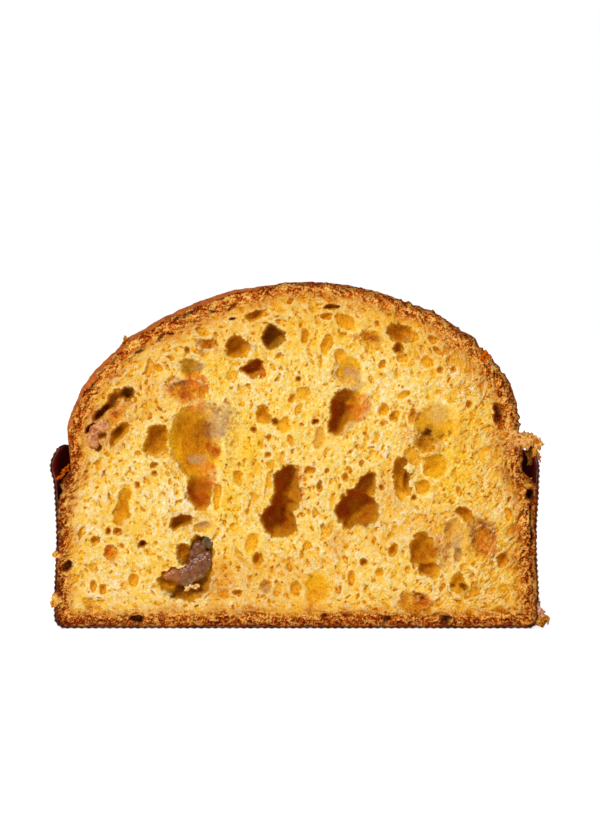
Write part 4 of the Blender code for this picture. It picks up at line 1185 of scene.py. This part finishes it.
SHREDS = [
    [(403, 467), (407, 463.5), (412, 463.8), (417.5, 466.5), (413.5, 469), (411, 473.5), (407.5, 471)],
    [(408.6, 480), (413, 477.6), (416.4, 481.5), (413, 486), (409.6, 485)],
]
LIGHT_CRUMB, BAKED_CRUMB = linear(244, 186, 100), linear(186, 102, 26)
OLIVE_CRUMB, DARK_CRUMB = linear(138, 86, 24), linear(78, 38, 8)
PINK_CRUMB = linear(226, 176, 150)
scraps = [
    lump(FLAP, 1.6, 1.6, 3.4, 1.8, 0.22, 341, (LIGHT_CRUMB, BAKED_CRUMB), 0.9, 0.8),
    lump(HANGING, 2.2, 1, 2, 1.4, 0.22, 351, (GOLD, BAKED_CRUMB), 0.8, 0.8),
    lump(SPUR, 0.8, 0.8, 2, 1.2, 0.22, 366, (GOLD, BARK), 0.9, 0.6),
    lump(STRAND, 2.8, 0.6, 1.2, 1, 0.22, 361, (OLIVE_CRUMB, DARK_CRUMB), 0.6, 0.7),
    lump(LOWER_RIGHT, 1.8, 1.8, 5, 2.2, 0.25, 371, (GOLD, BARK), 1, 0.8),
    lump(FIBRE, 0.2, 1, 2, 1, 0.22, 376, (PINK_CRUMB, BAKED_CRUMB), 0.6, 0.4),
    lump(BRIDGE, 1.4, 0.8, 2.4, 1.2, 0.22, 381, (TOAST, BARK), 0.8, 0.5),
    lump(CRUMBS_BELOW, 1.6, 0.7, 2.6, 1, 0.22, 386, (CREAM, GOLD), 0.5, 0.5),
    lump(TUFT, 0.8, 0.8, 2.4, 1, 0.22, 411, (GOLD, BARK), 0.5, 0.5),
    lump(SPIKE, 0.8, 0.9, 2.6, 1.2, 0.22, 416, (TOAST, BARK), 0.6, 0.5),
    lump(LEFT_CRUMBS, 0.3, 0.8, 1.6, 1, 0.22, 421, (LIGHT_CRUMB, GOLD), 0.4, 0.5),
    lump(LOWER_CRUMBS, 0.3, 0.8, 1.6, 1, 0.22, 426, (FLECK, BAKED_CRUMB), 0.4, 0.5),
]
for seed, corners in enumerate(SHREDS):
    scraps.append(lump(corners, 0.5, 0.5, 1.4, 0.8, 0.2, 390 + 10 * seed, (CREAM, YELLOW), 0.4, 0.4))
place_piece("torn_crumb", join(scraps), crumb_material, "loaf")


# The corrugated paper case

FLUTE_PITCH, FLUTE_HEIGHT = 2.3, 0.24
BASE_PITCH, BASE_FLUTE = 2.9, 0.16
FLUTE_SHEET, LINER_SHEET = 0.4, 0.5
# Heights in the case's floor: the middle of its flutes, half their sheet, and its liner's faces
BASE_MIDDLE, BASE_HALF, BASE_LINER = 0.42, 0.1, (0.92, 1.1)
PAPER_LIGHT, PAPER = linear(146, 110, 100), linear(104, 66, 54)
PAPER_DARK, PAPER_INSIDE = linear(66, 34, 26), linear(128, 18, 6)
PAPER_MAROON, PAPER_CUT = linear(74, 12, 6), linear(172, 134, 120)


def case_line(spacing):
    """The case's outer line from its rim down and round into the base, with its normals."""
    wall_z = np.linspace(CASE_HEIGHT, CORNER_RADIUS, 200)
    corner_r = case_outer(CORNER_RADIUS) + CORNER_RADIUS * (np.cos(QUARTER_TURN) - 1)
    radius = np.concatenate([case_outer(wall_z), corner_r])
    height = np.concatenate([wall_z, CORNER_RADIUS * (1 - np.sin(QUARTER_TURN))])
    return resample(radius, height, spacing)


def paper_sheet(offsets, line, angles):
    """A thin closed sheet that follows the case's line at two distances inside it.

    Returns points, quads, and how many of the last points are on its cut edges.
    """
    radius, height, normal_r, normal_z, _ = line
    rings = []
    for offset, flip in zip(offsets, (1, -1)):
        r = (radius - offset * normal_r)[::flip, None]
        z = (height - offset * normal_z)[::flip, None]
        spot = np.broadcast_arrays(r * np.cos(angles), r * np.sin(angles), z)
        spot = np.stack(spot, -1).reshape(-1, 3)
        near_rim = smooth(spot[:, 2], 52, CASE_HEIGHT)
        push = (0.25 + 0.75 * near_rim) * noise(spot, (16, 16, 30), 91)
        push += 0.3 * near_rim * noise(spot, 6, 92)
        left = np.exp(-(((np.degrees(np.arctan2(spot[:, 1], spot[:, 0])) - 180) / 9) ** 2))
        bulge = 1.3 * np.exp(-(((spot[:, 2] - 67) / 4.5) ** 2))
        push += left * (bulge - 0.9 * smooth(spot[:, 2], 70, 75))
        push *= np.repeat(normal_r[::flip], len(angles)) * smooth(spot[:, 2], 4, 16)
        # Nothing behind the cut edge stands out beyond it
        push -= 0.5 * smooth(spot[:, 1], 0, 4) * smooth(-spot[:, 1], -20, -5)
        around = np.hypot(spot[:, 0], spot[:, 1])
        spot[:, :2] *= (1 + push / around)[:, None]
        lift = 0.9 * noise(spot, (9, 9, 400), 94) + 0.5 * noise(spot, (3.1, 3.1, 400), 95)
        # The rim is lower under the hanging crumb
        lift -= 3 * smooth(spot[:, 0], 70, 82) * smooth(-spot[:, 1], -60, -30)
        spot[:, 2] += lift * smooth(spot[:, 2], 66, CASE_HEIGHT)
        spot[:, 1] += CUT
        rings.append(spot)
    points = np.concatenate(rings)
    rows, cols = 2 * len(radius), len(angles)
    parts = [grid_faces(rows, cols, wrap=True)[:, ::-1]]
    # The cut edges, whose bare paper is lighter, have points of their own
    top = np.arange(len(radius) - 1)
    for col, flip in ((0, 1), (cols - 1, -1)):
        edge = np.arange(rows) * cols + col
        outer, inner = len(points) + top, len(points) + rows - 1 - top
        parts.append(np.stack([outer, outer + 1, inner - 1, inner], 1)[:, ::flip])
        points = np.concatenate([points, points[edge]])
    return points, np.concatenate(parts), 2 * rows


angles = np.linspace(0, np.pi, 97)
line = case_line(FLUTE_PITCH / 8)
wave = np.cos(2 * np.pi * line[4] / FLUTE_PITCH)
outer_face = FLUTE_HEIGHT * (1 - wave) - 0.1
points, faces, edge = paper_sheet((outer_face, outer_face + FLUTE_SHEET), line, angles)
crest = np.concatenate([wave, wave[::-1]]) * 0.5 + 0.5
bare = np.resize(crest, edge)
crest = np.append(np.repeat(crest, len(angles)), bare)
# Valleys between the flutes are darker and their crests lighter, patchy with wear: painted shade and
# painted highlight on the corrugation. The bare cut edges are lighter paper, lightest at the crests,
# where the lightness is partly painted highlight too
wear_and_sheen = np.clip(0.35 + 0.9 * noise(points, 7, 96) + 0.5 * noise(points, 1.5, 97), 0, 1)
tones = blend(np.broadcast_to(PAPER_DARK, points.shape), PAPER, smooth(crest, 0.15, 0.8))
tones = blend(tones, PAPER_LIGHT, 0.75 * wear_and_sheen * smooth(crest, 0.6, 1))
tones[-edge:] = blend(PAPER, PAPER_CUT, 0.15 + 0.85 * smooth(bare, 0.2, 0.8))
place_piece("case_flutes", (points, faces, tones), paper_material, "paper_case")

line = case_line(1.2)
outer_face = np.full(len(line[0]), CASE_WALL - LINER_SHEET)
points, faces, edge = paper_sheet((outer_face, outer_face + LINER_SHEET), line, angles)
blotched = np.clip(0.5 + 0.8 * noise(points, 8, 98), 0, 1)
tones = blend(np.broadcast_to(PAPER_INSIDE, points.shape), PAPER_MAROON, blotched)
tones[-edge:] = blend(PAPER_DARK, PAPER, np.clip(0.5 + noise(points[-edge:], 1.4, 100), 0, 1))
place_piece("case_liner", (points, faces, tones), paper_material, "paper_case")


def base_sheet(x, low, high, reach):
    """A thin closed half-disc whose two faces are at the heights low and high along x."""
    back = CUT + np.sqrt(np.clip(reach**2 - x**2, 0.01, None))
    y = np.stack([np.full(len(x), CUT), 0.5 * (CUT + back), back])
    top, bottom = (np.stack(np.broadcast_arrays(x, y, level), -1) for level in (high, low))
    points = np.concatenate([top, bottom[::-1]]).reshape(-1, 3)
    faces = [grid_faces(2 * len(y), len(x), wrap=True)]
    for col, flip in ((0, 1), (len(x) - 1, -1)):
        faces.append((np.array([[0, 1, 4, 5], [1, 2, 3, 4]]) * len(x) + col)[:, ::flip])
    return points, np.concatenate(faces)


reach = case_outer(CORNER_RADIUS) - CORNER_RADIUS + 0.2
x = np.arange(-reach + 0.05, reach, BASE_PITCH / 8)
wave = BASE_MIDDLE + BASE_FLUTE * np.cos(2 * np.pi * x / BASE_PITCH)
flutes, flute_faces = base_sheet(x, wave - BASE_HALF, wave + BASE_HALF, reach)
liner, liner_faces = base_sheet(x[::4], *BASE_LINER, reach)
points = np.concatenate([flutes, liner])
faces = np.concatenate([flute_faces, liner_faces + len(flutes)])
wear_and_sheen = np.clip(0.4 + 0.8 * noise(points, 5, 99), 0, 1)
tones = blend(np.broadcast_to(PAPER, points.shape), PAPER_LIGHT, wear_and_sheen)
place_piece("case_base", (points, faces, tones), paper_material, "paper_case")


# Floor, light and camera

scene = bpy.context.scene
scene.view_settings.view_transform = "Standard"

# The paper sweep is white to look at, and lights the loaf less than the lamps do
FLOOR_SEEN, FLOOR_LIGHTING = 0.75, 0.2
SKY_SEEN, SKY_LIGHTING = 1, 0.4


def seen_or_lighting(nodes, links, seen, lighting):
    """A strength for what is looked at directly, and another for the light that falls on things."""
    path = nodes.new("ShaderNodeLightPath")
    span = set_inputs(nodes.new("ShaderNodeMapRange"), To_Min=lighting, To_Max=seen)
    links.new(path.outputs["Is Camera Ray"], span.inputs["Value"])
    return span.outputs["Result"]


FLOOR_HALF = 3
corners = [(-FLOOR_HALF, -FLOOR_HALF, 0), (FLOOR_HALF, -FLOOR_HALF, 0)]
corners += [(FLOOR_HALF, FLOOR_HALF, 0), (-FLOOR_HALF, FLOOR_HALF, 0)]
floor_mesh = bpy.data.meshes.new("floor")
floor_mesh.from_pydata(corners, [], [(0, 1, 2, 3)])
floor = add_object("floor", floor_mesh)
floor_material, nodes, links = new_material("floor")
shader = nodes["Principled BSDF"]
set_inputs(shader, Base_Color=(0.8, 0.8, 0.8, 1), Emission_Color=(1, 1, 1, 1), Roughness=0.9)
glow = seen_or_lighting(nodes, links, FLOOR_SEEN, FLOOR_LIGHTING)
links.new(glow, shader.inputs["Emission Strength"])
floor.data.materials.append(floor_material)

world = bpy.data.worlds.new("studio")
world.use_nodes = True
nodes, links = world.node_tree.nodes, world.node_tree.links
glow = seen_or_lighting(nodes, links, SKY_SEEN, SKY_LIGHTING)
links.new(glow, nodes["Background"].inputs["Strength"])
set_inputs(nodes["Background"], Color=(1, 1, 1, 1))
scene.world = world


def aim(made, place, target):
    """Puts a light or the camera in its place, looking at its target; both in metres."""
    made.location = place
    made.rotation_euler = (Vector(target) - Vector(place)).to_track_quat("-Z", "Y").to_euler()


LIT_PLACE = (0, -0.03, 0.06)
for name, place, size, power in (
    ("key", (-1.05, -2.05, 1.65), 0.7, 42),
    ("fill", (0.7, -1.3, 0.3), 0.8, 3),
):
    light = bpy.data.lights.new(name, "AREA")
    light.shape = "DISK"
    light.size = size
    light.energy = power
    aim(add_object(name, light), place, LIT_PLACE)

# The camera looks down a little at the middle of the picture
DISTANCE, ELEVATION = 1.3, math.radians(3.5)
PICTURE_MIDDLE = (300, 419.2)
SENSOR = 24
target = Vector((at_x(PICTURE_MIDDLE[0]) * MM, CUT * MM, at_z(PICTURE_MIDDLE[1]) * MM))
lens = bpy.data.cameras.new("camera")
lens.sensor_fit = "VERTICAL"
lens.sensor_height = SENSOR
lens.lens = SENSOR * DISTANCE / (PHOTO_HEIGHT * PIXEL * MM)
lens.clip_end = 20
scene.camera = add_object("camera", lens)
away = Vector((0, -math.cos(ELEVATION), math.sin(ELEVATION)))
aim(scene.camera, target + away * DISTANCE, target)
